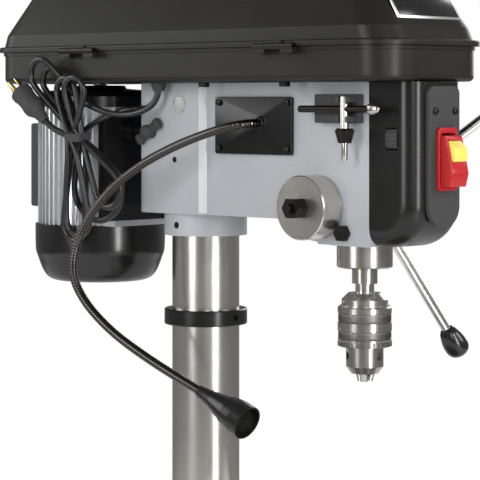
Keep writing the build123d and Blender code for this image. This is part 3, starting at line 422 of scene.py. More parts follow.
class Finish(Enum):
    """Every finish on the machine."""

    HEAD_GREY = Paint("head_grey_paint", (0.375, 0.385, 0.410), 0.42, 0.00006, 480.0, 0.30)
    BASE_GREY = Paint("base_grey_paint", (0.375, 0.385, 0.410), 0.45, 0.0002, 220.0, 0.2)
    COVER_BLACK = Paint("cover_black_texture", (0.0105, 0.0095, 0.0085), 0.34, 0.00008, 1100.0, shine=0.26)
    HOUSING_BLACK = Paint("housing_black_satin", (0.0060, 0.0056, 0.0052), 0.22, 0.00002, 700.0, shine=0.36)
    BELL_BLACK = Paint("bell_black_gloss", (0.005, 0.005, 0.005), 0.18, 0.00001, 300.0, 0.0, 0.0, 0.5)
    # Painted highlight: a lighter copy of the head grey with strong white sparkle, for the step strip where
    # light catches it.
    HEAD_GLINT = Paint("head_grey_painted_highlight", (0.56, 0.57, 0.59), 0.32, 0.00008, 480.0, 1.0, 0.1)
    PLASTIC_BLACK = Moulded("black_plastic", (0.007, 0.0068, 0.0065), 0.38)
    KNOB_BLACK = Moulded("knob_gloss", (0.006, 0.006, 0.006), 0.18, 0.000001, 600.0, 0.0, 0.5)
    SHEATH = Moulded("cable_sheath", (0.006, 0.006, 0.006), 0.30, 0.000005, 900.0, 0.0, 0.5)
    NECK_BLACK = Metal("neck_black_metal", (0.070, 0.067, 0.063), 0.13, Grain.NONE, 500.0, 0.2, 0.000002,
                       0.04)
    BELT_RUBBER = Moulded("belt_rubber", (0.012, 0.012, 0.012), 0.7, 0.00006, 1400.0)
    RED = Moulded("paddle_red", (0.36, 0.010, 0.013), 0.34, 0.00001, 900.0, 0.2)
    YELLOW = Moulded("key_yellow", (0.72, 0.55, 0.10), 0.36, 0.00001, 900.0, 0.1)
    COLUMN_STEEL = Metal("column_ground_steel", (0.60, 0.58, 0.54), 0.24, Grain.ROUND, 300.0, 0.08,
                         0.000002, 0.05)
    BRIGHT_STEEL = Metal("turned_bright_steel", (0.50, 0.48, 0.45), 0.24, Grain.ROUND, 300.0, 0.14,
                         0.000003, 0.07)
    CAP_STEEL = Faced("cap_turned_steel", (0.66, 0.64, 0.60), (0, -0.200, 0.812), False, 0.25, 2600.0)
    CHROME = Metal("rod_chrome", (0.80, 0.80, 0.79), 0.14, Grain.NONE, 30.0, 0.06)
    BLACK_STEEL = Metal("blackened_steel", (0.040, 0.038, 0.036), 0.34, Grain.NONE, 300.0, 0.35)
    KNURL_STEEL = Metal("knurl_dark_steel", (0.20, 0.195, 0.19), 0.42, Grain.NONE, 400.0, 0.4)
    FIN_ALLOY = Metal("fin_aluminium", (0.86, 0.87, 0.89), 0.33, Grain.UPRIGHT, 260.0, 0.16)
    PULLEY_ALLOY = Metal("pulley_aluminium", (0.66, 0.66, 0.67), 0.34, Grain.ROUND, 80.0, 0.22)
    BRASS = Metal("prong_brass", (0.78, 0.58, 0.27), 0.24, Grain.NONE, 120.0, 0.2)
    TABLE_IRON = Faced("table_faced_iron", (0.44, 0.43, 0.42), (0, -0.226, 0.480), True, 0.38, 700.0, 0.3)
    PLATE_RIM = Metal("plate_rim_alloy", (0.85, 0.85, 0.86), 0.32, Grain.ALONG_X, 300.0, 0.12)
    LENS = Glow()

    def material(self) -> bpy.types.Material:
        """The material of this finish, made once.

        Returns:
            The shared material.
        """
        return bpy.data.materials.get(self.value.name) or self.value.make()


NODE_FINISH: dict[Finish, tuple[str, ...]] = {
    Finish.HEAD_GREY: ("head_casting",),
    Finish.BASE_GREY: ("base", "column_flange", "table_bracket", "table_arm"),
    Finish.COVER_BLACK: ("cover_lid", "cover_tray"),
    Finish.HOUSING_BLACK: ("front_housing", "rack_ring", "lamp_plate", "lamp_shade", "feed_hub"),
    Finish.BELL_BLACK: ("motor_bell", "motor_shield", "motor_plate"),
    Finish.PLASTIC_BLACK: ("switch_panel", "key_holder", "lamp_switch", "slide_lock", "terminal_box",
                           "power_gland", "cord_tie", "plug"),
    Finish.KNOB_BLACK: ("feed_knobs",),
    Finish.SHEATH: ("power_cord", "cord_hank", "motor_lead", "gooseneck"),
    Finish.BELT_RUBBER: ("drive_belts",),
    Finish.RED: ("switch_frame", "switch_paddle"),
    Finish.YELLOW: ("switch_key",),
    Finish.COLUMN_STEEL: ("column",),
    Finish.BRIGHT_STEEL: ("quill", "quill_bearings", "head_bearings", "spindle", "chuck_body",
                          "chuck_sleeve", "chuck_jaw_1", "chuck_jaw_2", "chuck_jaw_3"),
    Finish.CAP_STEEL: ("spring_cap",),
    Finish.CHROME: ("feed_rods", "tension_lever", "chuck_key"),
    Finish.BLACK_STEEL: ("hex_bolts", "small_screws", "hinge_pins", "return_spring", "idler_arm",
                         "pinion_shaft", "rack", "table_crank", "clamp_lever"),
    Finish.FIN_ALLOY: ("motor_body",),
    Finish.PULLEY_ALLOY: ("motor_pulley", "idler_pulley", "spindle_pulley"),
    Finish.TABLE_IRON: ("table",),
}


# ------------------------------------------------------------------------------------ mesh helpers
def finish_mesh(mesh: bmesh.types.BMesh, name: str, finish: Finish, body: str | None,
                smooth_angle: float = 40.0) -> bpy.types.Object:
    """Turn a bmesh into a piece that rides on a body.

    Args:
        mesh: The shape, in the frame's metres. It is freed.
        name: The piece's name.
        finish: Its finish.
        body: The CAD body that it rides on, or none to leave it unattached.
        smooth_angle: Edges sharper than this many degrees stay crisp.

    Returns:
        The new object.
    """
    bmesh.ops.remove_doubles(mesh, verts=mesh.verts, dist=1e-6)
    bmesh.ops.recalc_face_normals(mesh, faces=mesh.faces)
    for edge in mesh.edges:
        edge.smooth = len(edge.link_faces) == 2 and edge.calc_face_angle(0.0) < math.radians(smooth_angle)
    for face in mesh.faces:
        face.smooth = True
    data = bpy.data.meshes.new(name)
    mesh.to_mesh(data)
    mesh.free()
    piece = bpy.data.objects.new(name, data)
    bpy.context.scene.collection.objects.link(piece)
    data.materials.append(finish.material())
    if body:
        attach(piece, body)
    return piece


def axis_matrix(origin: Vector, axis: Vector) -> Matrix:
    """Matrix that carries the local z axis to an axis through origin.

    Args:
        origin: Where the local origin goes.
        axis: Where the local z axis points.

    Returns:
        The matrix.
    """
    return Matrix.Translation(origin) @ axis.to_track_quat("Z", "Y").to_matrix().to_4x4()


def basis(origin: Vector, sides: tuple[Vector, Vector, Vector]) -> Matrix:
    """Matrix that carries the local axes to three square directions.

    Args:
        origin: Where the local origin goes.
        sides: Where the local x, y and z axes point.

    Returns:
        The matrix.
    """
    return Matrix.Translation(origin) @ Matrix(sides).transposed().to_4x4()


def turned(mesh: bmesh.types.BMesh, outline: list[tuple[float, float]], place: Matrix,
           steps: int = 48) -> None:
    """Spin an outline of (radius, height) in millimetres about the local z axis.

    Args:
        mesh: The bmesh that gets the shape.
        outline: Points from one end to the other.
        place: Where the local frame goes.
        steps: Number of facets round.
    """
    verts = [mesh.verts.new(place @ Vector((r * MM, 0, h * MM))) for r, h in outline]
    edges = [mesh.edges.new(pair) for pair in zip(verts, verts[1:])]
    centre, axis = place.translation, place.to_3x3() @ Vector((0, 0, 1))
    bmesh.ops.spin(mesh, geom=verts + edges, cent=centre, axis=axis, angle=math.tau, steps=steps,
                   use_merge=True)


def box(mesh: bmesh.types.BMesh, size: tuple[float, float, float], place: Matrix, edge: float,
        segments: int = 2) -> None:
    """Add a box with rounded edges, sized in millimetres.

    Args:
        mesh: The bmesh that gets the shape.
        size: Its three sides.
        place: Where its middle goes.
        edge: Radius of its edges.
        segments: Facets across each edge.
    """
    before = set(mesh.verts)
    made = bmesh.ops.create_cube(mesh, size=1.0)
    bmesh.ops.scale(mesh, vec=tuple(side * MM for side in size), verts=made["verts"])
    edges = list({edge for vert in made["verts"] for edge in vert.link_edges})
    bmesh.ops.bevel(mesh, geom=edges, offset=edge * MM, segments=segments, profile=0.5, affect="EDGES",
                    material=-1)
    bmesh.ops.transform(mesh, matrix=place, verts=[v for v in mesh.verts if v not in before])


def nurbs(name: str, points: list[tuple[float, float, float]], diameter: float, finish: Finish,
          body: str) -> bpy.types.Object:
    """A round cord on one smooth open spline.

    Args:
        name: The piece's name.
        points: Control points in metres.
        diameter: The cord's diameter in metres.
        finish: Its finish.
        body: The CAD body that it rides on.

    Returns:
        The curve object.
    """
    curve = bpy.data.curves.new(name, "CURVE")
    curve.dimensions = "3D"
    curve.bevel_depth = diameter / 2
    curve.bevel_resolution = 5
    curve.resolution_u = 10
    curve.use_fill_caps = True
    spline = curve.splines.new("NURBS")
    spline.points.add(len(points) - 1)
    for point, place in zip(spline.points, points):
        point.co = (*place, 1.0)
    spline.order_u = 3
    spline.use_endpoint_u = True
    piece = bpy.data.objects.new(name, curve)
    bpy.context.scene.collection.objects.link(piece)
    curve.materials.append(finish.material())
    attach(piece, body)
    return piece


def metres(points: list[tuple[float, float, float]]) -> list[tuple[float, float, float]]:
    """Millimetre points in metres."""
    return [tuple(c * MM for c in point) for point in points]


# ------------------------------------------------------------------------------------ cords
GLAND = (-60.0, 12.0, 938.4)
CORD_D = 7.0
DROP = [GLAND, (-60, 12, 921), (-66, 28, 908), (-76, 52, 903), (-83, 80, 908), (-90, 106, 921)]
PLUG_START = Vector((-101.5, 148.0, 897.0))
PLUG_WAY = Vector((0, 60, 46)).normalized()


@dataclass(frozen=True)
class Fold:
    """One loop of the hank, from the tie out to its tip and back."""

    right: float
    up: float
    width: float
    layer: float
    leg: float = 0.2

    def offset(self, part: float) -> Vector:
        """Place in the hank's plane at a share of the way round.

        Args:
            part: From 0, at the tie, to 1, back at the tie.

        Returns:
            Millimetres to the right of and above the tie.
        """
        reach = Vector((self.right, self.up))
        way = reach.normalized()
        across = Vector((-way.y, way.x)) * math.copysign(1.0, self.width)
        radius = abs(self.width) / 2
        held = min(max(part, self.leg), 1 - self.leg)
        angle = (held - 0.5) / (0.5 - self.leg) * math.radians(100)
        tip = way * (reach.length - radius + radius * math.cos(angle)) - across * radius * math.sin(angle)
        return tip * min(1.0, min(part, 1 - part) / self.leg)


@dataclass
class MainsCord:
    """The mains cord: gland, droop, tied hank, and plug."""

    length: float = 1.83
    centre: Vector = Vector((-94.0, 104.0, 880.0))
    lean: float = math.radians(5.0)
    column_gap: float = 7.2
    row_gap: float = 6.4
    fold_points: int = 8
    entry: Fold = Fold(-68, 82, -38, -0.4)
    folds: tuple[Fold, ...] = (
        Fold(26, -94, 84, -1.5), Fold(-58, 72, -32, -1.5), Fold(-22, -116, 36, -0.5), Fold(4, 66, -34, 0.5),
        Fold(60, -72, 44, 0.5), Fold(-24, 64, -32, -0.6), Fold(4, -108, -40, 1.5))

    def __post_init__(self) -> None:
        """Work out the hank's leaning plane."""
        self.out = Vector((-math.cos(self.lean), 0, -math.sin(self.lean)))
        self.rise = Vector((-math.sin(self.lean), 0, math.cos(self.lean)))

    def in_hank(self, right: float, up: float, layer: float) -> tuple[float, float, float]:
        """A point of the hank.

        Args:
            right: Millimetres towards the front of the machine.
            up: Millimetres up the leaning plane.
            layer: Millimetres off the plane, away from the machine.

        Returns:
            The point in millimetres.
        """
        return tuple(self.centre + Vector((0, -right, 0)) + self.rise * up + self.out * layer)

    def in_tie(self, number: int) -> Vector:
        """Where a strand lies in the tie, on a grid of three by three.

        Args:
            number: Which pass through the tie it is.

        Returns:
            Millimetres to the right and away from the machine.
        """
        return Vector(((number % 3 - 1) * self.column_gap, (number // 3 - 1) * self.row_gap))

    def strand(self, number: int) -> tuple[float, float, float]:
        """Where a strand passes through the tie, in millimetres."""
        place = self.in_tie(number)
        return self.in_hank(place.x, 0, place.y)

    def fold(self, fold: Fold, number: int, start: int = 1) -> list[tuple[float, float, float]]:
        """Points of one fold, between two passes through the tie.

        Args:
            fold: The fold's shape.
            number: The pass that it starts from.
            start: The first of its points that is wanted.

        Returns:
            Points in millimetres.
        """
        points = []
        first, last = self.in_tie(number), self.in_tie(number + 1)
        for step in range(start, self.fold_points):
            part = step / self.fold_points
            place = fold.offset(part)
            near = max(0.0, 1 - 5 * min(part, 1 - part))
            tie = first if part < 0.5 else last
            layer = tie.y * near + fold.layer * CORD_D * (1 - near)
            points.append(self.in_hank(place.x + tie.x * near, place.y, layer))
        return points

    def route(self) -> list[tuple[float, float, float]]:
        """Every control point from the gland to the plug.

        Returns:
            Points in millimetres.
        """
        points = list(DROP) + self.fold(self.entry, -1, 2)
        for number, fold in enumerate(self.folds):
            points.append(self.strand(number))
            points += self.fold(fold, number)
        points += [self.strand(len(self.folds)), tuple(PLUG_START - PLUG_WAY * 16), tuple(PLUG_START)]
        return points

    def build(self) -> None:
        """Make the cord, its tie and its plug."""
        cord = nurbs("mains_cord", metres(self.route()), CORD_D * MM, Finish.SHEATH, "stand")
        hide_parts("power_cord", "cord_hank")
        plug, prongs = self.plug()
        tie = self.tie()
        LOG.info("mains cord with %d control points", len(self.route()))

    def plug(self) -> tuple[bpy.types.Object, bpy.types.Object]:
        """The moulded plug and its prongs.

        Returns:
            The plug's body and its prongs.
        """
        place = axis_matrix(PLUG_START * MM, PLUG_WAY)
        mesh = bmesh.new()
        turned(mesh, [(0, 0), (4.6, 0), (5.6, 1.5), (5.0, 3.5), (6.2, 5.5), (5.6, 8), (7, 10), (6.4, 12.5),
                      (8, 15), (11.6, 22), (12, 27), (11, 35), (11.4, 43), (12.3, 47), (12.3, 51.4),
                      (11.6, 52), (0, 52)], place)
        body = finish_mesh(mesh, "plug_moulding", Finish.PLASTIC_BLACK, "stand")
        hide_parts("plug")
        mesh = bmesh.new()
        for side in (-1, 1):
            box(mesh, (6.3, 1.6, 17), place @ Matrix.Translation((0, side * 6.3 * MM, 60 * MM)), 0.4)
        turned(mesh, [(0, 51), (2.4, 51), (2.4, 68), (1.6, 70), (0, 70)],
               place @ Matrix.Translation((6 * MM, 0, 0)), 20)
        prongs = finish_mesh(mesh, "plug_prongs", Finish.BRASS, "stand")
        return body, prongs

    def tie(self) -> bpy.types.Object:
        """The strap round the middle of the hank.

        Returns:
            The strap.
        """
        frame = basis(self.centre * MM, (Vector((0, -1, 0)), self.out, self.rise))
        mesh = bmesh.new()
        half = Vector((self.column_gap, self.row_gap)) * MM
        made = bmesh.ops.create_circle(mesh, segments=48, radius=(CORD_D / 2 + 1) * MM)
        for vert in made["verts"]:
            vert.co.x += math.copysign(half.x, vert.co.x)
            vert.co.y += math.copysign(half.y, vert.co.y)
        ring = bmesh.ops.extrude_edge_only(mesh, edges=mesh.edges[:])
        upper = [v for v in ring["geom"] if isinstance(v, bmesh.types.BMVert)]
        bmesh.ops.translate(mesh, verts=upper, vec=(0, 0, 9 * MM))
        bmesh.ops.translate(mesh, verts=mesh.verts[:], vec=(0, 0, -4.5 * MM))
        bmesh.ops.transform(mesh, matrix=frame, verts=mesh.verts[:])
        bmesh.ops.recalc_face_normals(mesh, faces=mesh.faces)
        bmesh.ops.solidify(mesh, geom=mesh.faces[:], thickness=1.4 * MM)
        strap = finish_mesh(mesh, "hank_strap", Finish.PLASTIC_BLACK, "stand")
        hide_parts("cord_tie")
        return strap


@dataclass
class MotorLead:
    """The short lead from the head casting to the motor."""

    diameter: float = 6.5
    length: float = 0.112

    def build(self) -> None:
        exit_point = (-48.1, 46, 911)
        points = [exit_point, (-59, 47, 911), (-68, 62, 908), (-77.5, 86, 899), (-78.5, 110, 887),
                  (-74, 127, 877), (-67.5, 136, 871)]
        lead = nurbs("motor_flex", metres(points), self.diameter * MM, Finish.SHEATH, "stand")
        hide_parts("motor_lead")


# ------------------------------------------------------------------------------------ lamp
@dataclass
class WorkLamp:
    """The ribbed gooseneck and the lamp's lens."""

    rib_pitch: float = 3.4
    crest_r: float = 4.8
    root_r: float = 4.4
    sides: int = 18

    def build(self) -> None:
        """Make the neck and the lens."""
        route = [(-48.8, -122, 896), (-66, -121, 896), (-78, -90, 889), (-87, -36, 871), (-99, 15, 845),
                 (-114, 48, 812), (-121, 74, 773), (-127, 78, 735), (-127, 57, 705), (-125, 18, 677),
                 (-121, -24, 656), (-116, -68, 637), (-112, -101, 624)]
        guide = nurbs("neck_guide", metres(route), 0.0, Finish.SHEATH, "stand")
        guide.data.resolution_u = 24
        line = bpy.data.meshes.new_from_object(guide)
        path = [v.co.copy() for v in line.vertices]
        bpy.data.meshes.remove(line)
        bpy.data.objects.remove(guide)
        neck = self.ribbed(path)
        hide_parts("gooseneck")
        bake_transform(neck)
        self.lens(Vector(route[-1]) * MM)

    def ribbed(self, path: list[Vector]) -> bpy.types.Object:
        """A ribbed tube along a path.

        Args:
            path: Closely spaced points in metres.

        Returns:
            The tube.
        """
        marks, travelled = [0.0], 0.0
        for first, second in zip(path, path[1:]):
            travelled += (second - first).length
            marks.append(travelled)
        count = int(travelled / (self.rib_pitch * MM)) * 4
        mesh = bmesh.new()
        rings, index = [], 0
        for number in range(count + 1):
            target = travelled * number / count
            while index < len(path) - 2 and marks[index + 1] < target:
                index += 1
            run = path[index + 1] - path[index]
            share = (target - marks[index]) / max(run.length, 1e-9)
            radius = self.crest_r if number % 4 in (1, 2) else self.root_r
            place = axis_matrix(path[index] + run * share, run)
            made = bmesh.ops.create_circle(mesh, segments=self.sides, radius=radius * MM, matrix=place)
            rings.append(made["verts"])
        for first, second in zip(rings, rings[1:]):
            first_edges = {e for v in first for e in v.link_edges if e.other_vert(v) in first}
            second_edges = {e for v in second for e in v.link_edges if e.other_vert(v) in second}
            bmesh.ops.bridge_loops(mesh, edges=list(first_edges | second_edges))
        return finish_mesh(mesh, "lamp_gooseneck", Finish.NECK_BLACK, None, 80.0)

    def lens(self, neck: Vector) -> None:
        """The lens inside the shade.

        Args:
            neck: Where the neck ends.
        """
        mesh = bmesh.new()
        turned(mesh, [(0, 43), (13, 44), (13.4, 46), (10, 49.5), (5, 51.2), (0, 51.6)],
               axis_matrix(neck, Vector((2, -64, -26)).normalized()), 32)
        lens = finish_mesh(mesh, "lamp_lens", Finish.LENS, "lamp")


# ------------------------------------------------------------------------------------ chuck
@dataclass
class ChuckSleeve:
    """The chuck's turning sleeve, with two knurled bands and a toothed rim."""

    axis_y: float = -226.0
    radius: float = 27.5
    inner: float = 25.1
    knurl_r: float = 26.5
    knurl_height: float = 0.55
    knurls: int = 84
    teeth: int = 30
    bands: tuple[tuple[float, float], ...] = ((695.4, 703.6), (678.6, 685.6))

    def build(self) -> None:
        """Make the sleeve and its knurled bands."""
        low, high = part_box("chuck_sleeve")
        base, top = low.z / MM, high.z / MM
        (upper_low, upper_high), (lower_low, lower_high) = self.bands
        place = Matrix.Translation((0, self.axis_y * MM, 0))
        r, groove, chamfer = self.radius, self.knurl_r - 0.7, 0.6
        mesh = bmesh.new()
        outline = [(self.inner, base), (r - 0.9, base), (r - 0.4, base + 0.5), (r - 0.4, base + 6)]
        outline += [(r, base + 6.6), (r, lower_low - chamfer), (groove, lower_low), (groove, lower_high)]
        outline += [(r, lower_high + chamfer), (r, upper_low - chamfer), (groove, upper_low)]
        outline += [(groove, upper_high), (r, upper_high + chamfer), (r, top - 1.2), (r - 1.2, top)]
        outline += [(self.inner, top), (self.inner, base)]
        turned(mesh, outline, place, 96)
        sleeve = finish_mesh(mesh, "sleeve_shell", Finish.BRIGHT_STEEL, "chuck_sleeve", 30.0)
        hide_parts("chuck_sleeve")
        mesh = bmesh.new()
        for band_low, band_high in self.bands:
            self.knurl(mesh, band_low, band_high)
        self.rim(mesh, base)
        knurl = finish_mesh(mesh, "sleeve_knurl", Finish.KNURL_STEEL, "chuck_sleeve", 20.0)

    def knurl(self, mesh: bmesh.types.BMesh, low: float, high: float) -> None:
        """Add one band of diamond knurling.

        Args:
            mesh: The bmesh that gets it.
            low: Its lower edge.
            high: Its upper edge.
        """
        rows = 6
        rings = []
        for row in range(rows + 1):
            height = low + (high - low) * row / rows
            turn = Matrix.Rotation(math.pi / self.knurls * (row % 2), 4, "Z")
            place = Matrix.Translation((0, self.axis_y * MM, height * MM)) @ turn
            made = bmesh.ops.create_circle(mesh, segments=self.knurls * 2, radius=self.knurl_r * MM,
                                           matrix=place)
            for number, vert in enumerate(made["verts"]):
                if number % 2 and 0 < row < rows:
                    flat = Vector((vert.co.x, vert.co.y - self.axis_y * MM, 0)).normalized()
                    vert.co += flat * self.knurl_height * MM
            rings.append(list({edge for vert in made["verts"] for edge in vert.link_edges}))
        for lower, upper in zip(rings, rings[1:]):
            bmesh.ops.bridge_loops(mesh, edges=lower + upper)

    def rim(self, mesh: bmesh.types.BMesh, base: float) -> None:
        """Add the key's teeth round the lower rim.

        Args:
            mesh: The bmesh that gets them.
            base: Height of the sleeve's lower edge.
        """
        for tooth in range(self.teeth):
            turn = Matrix.Rotation(math.tau * tooth / self.teeth, 4, "Z")
            place = Matrix.Translation((0, self.axis_y * MM, 0)) @ turn
            box(mesh, (0.7, 2.4, 4.6), place @ Matrix.Translation(
                ((self.radius - 0.25) * MM, 0, (base + 2.6) * MM)), 0.15, 1)


@dataclass
class ChuckKey:
    """The key in its clip: a bar with a flattened bright end, a shank and a bevel gear."""

    x: float = -57.0
    y: float = -248.0
    bar_z: float = 911.0
    end_halves: tuple[float, float, float] = (3.4, 9.5, 5.4)
    gear: tuple[float, float] = (877.0, 892.0)
    teeth: int = 11

    def build(self) -> None:
        """Make the bright shank and the black bar and gear."""
        shank_place = Matrix.Translation((self.x * MM, self.y * MM, 0))
        low, high = self.gear
        mesh = bmesh.new()
        outline = [(0, 860), (2.6, 860), (3.2, 861), (3.2, low), (4.6, low), (4.6, 922.6), (4.0, 924)]
        turned(mesh, [*outline, (0, 924)], shank_place, 32)
        oval = Matrix.Translation(Vector((self.x, -283, self.bar_z)) * MM)
        oval @= Matrix.Diagonal((*(half * MM for half in self.end_halves), 1))
        bmesh.ops.create_uvsphere(mesh, u_segments=28, v_segments=18, radius=1.0, matrix=oval)
        shank = finish_mesh(mesh, "key_shank", Finish.BRIGHT_STEEL, "chuck_key")
        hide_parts("chuck_key")
        mesh = bmesh.new()
        bar = axis_matrix(Vector((self.x, -176, self.bar_z)) * MM, Vector((0, -1, 0)))
        turned(mesh, [(0, 12), (3.0, 12), (3.6, 12.8), (3.6, 104), (3.0, 104.8), (0, 104.8)], bar, 28)
        self.bevel_gear(mesh, shank_place)
        dark = finish_mesh(mesh, "key_bar", Finish.BLACK_STEEL, "chuck_key", 30.0)

    def bevel_gear(self, mesh: bmesh.types.BMesh, place: Matrix) -> None:
        """Add the gear, whose teeth widen upwards.

        Args:
            mesh: The bmesh that gets it.
            place: Where the shank's axis is.
        """
        low, high = self.gear
        rings = []
        for radius, height in ((3.4, low), (6.6, low + 0.4), (9.9, high - 2.4), (8.2, high), (3.4, high)):
            level = place @ Matrix.Translation((0, 0, height * MM))
            made = bmesh.ops.create_circle(mesh, segments=self.teeth * 4, radius=radius * MM, matrix=level)
            if radius > 4:
                for number, vert in enumerate(made["verts"]):
                    if number % 4 in (1, 2):
                        offset = vert.co - level.translation
                        vert.co = level.translation + offset * 0.80
            rings.append(list({edge for vert in made["verts"] for edge in vert.link_edges}))
        for lower, upper in zip(rings, rings[1:]):
            bmesh.ops.bridge_loops(mesh, edges=lower + upper)


@dataclass
class FeedKnobs:
    """Three gloss knobs at the ends of the feed levers."""

    hub: Vector = Vector((42.0, -200.0, 812.0))
    reach: float = 185.0
    lean: float = math.radians(30.0)
    turns: tuple[float, ...] = (15.0, 135.0, 255.0)
    outline: tuple[tuple[float, float], ...] = (
        (0, -26), (6.4, -26), (7, -25.4), (7.6, -24.6), (9, -23), (10.7, -18.5), (12, -14), (12.8, -9.5),
        (13, -6), (12.9, -2.5), (12.4, 0), (11.2, 3), (9.5, 5), (7.4, 6.5), (5, 7.4), (2.5, 7.9), (0, 8))

    def build(self) -> None:
        """Make the three knobs as one piece."""
        mesh = bmesh.new()
        for turn in self.turns:
            spread = math.cos(self.lean)
            angle = math.radians(turn)
            way = Vector((math.sin(self.lean), -spread * math.sin(angle), -spread * math.cos(angle)))
            turned(mesh, list(self.outline), axis_matrix((self.hub + way * self.reach) * MM, way), 48)
        knobs = finish_mesh(mesh, "gloss_knobs", Finish.KNOB_BLACK, "feed", 60.0)
        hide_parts("feed_knobs")


# ------------------------------------------------------------------------------------ small parts
@dataclass(frozen=True)
class Softened:
    """A copy of a plain CAD node with its sharp edges rounded."""

    node: str
    body: str
    slot: str
    finish: Finish
    radius: float
    sharp: float = 50.0

    def build(self) -> None:
        """Merge the copy, clear its flat triangles and round its edges."""
        mesh = bmesh.new()
        mesh.from_mesh(bpy.data.objects[self.node].data)
        bmesh.ops.remove_doubles(mesh, verts=mesh.verts, dist=1e-6)
        bmesh.ops.dissolve_limit(mesh, angle_limit=math.radians(1.0), verts=mesh.verts, edges=mesh.edges)
        edges = [e for e in mesh.edges if len(e.link_faces) == 2
                 and e.calc_face_angle(0.0) > math.radians(self.sharp)]
        bmesh.ops.bevel(mesh, geom=edges, offset=self.radius * MM, segments=3, profile=0.5, affect="EDGES",
                        material=-1, clamp_overlap=True)
        soft = finish_mesh(mesh, f"soft_{self.node}", self.finish, self.body, 32.0)
        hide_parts(self.node)


SOFTENED = (
    Softened("switch_paddle", "switch_paddle", "red_plastic", Finish.RED, 1.6),
    Softened("switch_frame", "stand", "red_plastic", Finish.RED, 0.8),
    Softened("switch_key", "switch_key", "yellow_plastic", Finish.YELLOW, 1.4),
    Softened("key_holder", "stand", "black_plastic", Finish.PLASTIC_BLACK, 0.6),
    Softened("lamp_plate", "stand", "black_cast", Finish.HOUSING_BLACK, 0.6),
    Softened("lamp_switch", "lamp_switch", "black_plastic", Finish.PLASTIC_BLACK, 0.6),
)


@dataclass
class NamePlate:
    """The blank plate on the sloping front of the lid."""

    width: float = 100.0
    height: float = 30.0
    foot: Vector = Vector((0, -313.0, 993.0))
    slope: Vector = Vector((0, 42.0, 72.0)).normalized()
    along: float = 22.5

    def build(self) -> None:
        """Make the plate's rim and its field."""
        normal = Vector((0, -self.slope.z, self.slope.y))
        middle = self.foot + self.slope * self.along + normal * 0.9
        place = basis(middle * MM, (Vector((1, 0, 0)), self.slope, normal))
        mesh = bmesh.new()
        box(mesh, (self.width, self.height, 1.8), place, 0.6)
        rim = finish_mesh(mesh, "name_plate_rim", Finish.PLATE_RIM, "lid")
        mesh = bmesh.new()
        box(mesh, (self.width - 6, self.height - 6, 1.8), place @ Matrix.Translation((0, 0, 0.35 * MM)), 0.4)
        field = finish_mesh(mesh, "name_plate_field", Finish.KNOB_BLACK, "lid")


@dataclass
class HeadStepHighlight:
    """A painted highlight: a lighter, sparkly strip along the upright step of the head's left side, where
    light catches the step.
    """

    rear: Vector = Vector((-48.0, -36.6, 0))
    front: Vector = Vector((-41.0, -41.6, 0))
    low: float = 800.0
    high: float = 937.0

    def build(self) -> None:
        """Lay a thin painted-highlight strip on the step's slanting face."""
        run = self.front - self.rear
        normal = Vector((run.y, -run.x, 0)).normalized()
        middle = (self.rear + self.front) / 2 + normal * 0.05 + Vector((0, 0, (self.low + self.high) / 2))
        place = Matrix.Translation(middle * MM) @ Matrix.Rotation(math.atan2(run.y, run.x), 4, "Z")
        mesh = bmesh.new()
        box(mesh, (run.length + 0.6, 0.5, self.high - self.low), place, 0.2)
        strip = finish_mesh(mesh, "head_step", Finish.HEAD_GLINT, "stand")


@dataclass
class SlideLock:
    """The wing knob that locks the motor's slide."""

    axis: Vector = Vector((0, 35.0, 886.0))
    tilt: float = math.radians(-33.0)

    def build(self) -> None:
        """Make the hub and the wing."""
        low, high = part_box("slide_lock")
        outer = low.x / MM
        place = axis_matrix(Vector((high.x / MM, self.axis.y, self.axis.z)) * MM, Vector((-1, 0, 0)))
        reach = high.x / MM - outer
        mesh = bmesh.new()
        turned(mesh, [(0, 0), (3.2, 0), (3.2, reach * 0.35), (6.5, reach * 0.38), (7.4, reach * 0.45),
                      (7.4, reach * 0.8), (6.2, reach * 0.95), (3.5, reach), (0, reach)], place, 32)
        turn = Matrix.Rotation(self.tilt, 4, "X")
        middle = Matrix.Translation(Vector((outer + reach * 0.35, self.axis.y, self.axis.z)) * MM)
        for side in (-1, 1):
            box(mesh, (7.5, 18, 10), middle @ turn @ Matrix.Translation((0, side * 9.5 * MM, 0)), 3.2, 3)
            box(mesh, (9, 8, 12.5), middle @ turn @ Matrix.Translation((0, side * 16 * MM, 0)), 3.4, 3)
        wing = finish_mesh(mesh, "slide_lock_wing", Finish.PLASTIC_BLACK, "slide_lock", 50.0)
        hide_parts("slide_lock")


@dataclass(frozen=True)
class ScrewSpot:
    """Where one screw head sits."""

    place: Vector
    way: Vector
    radius: float


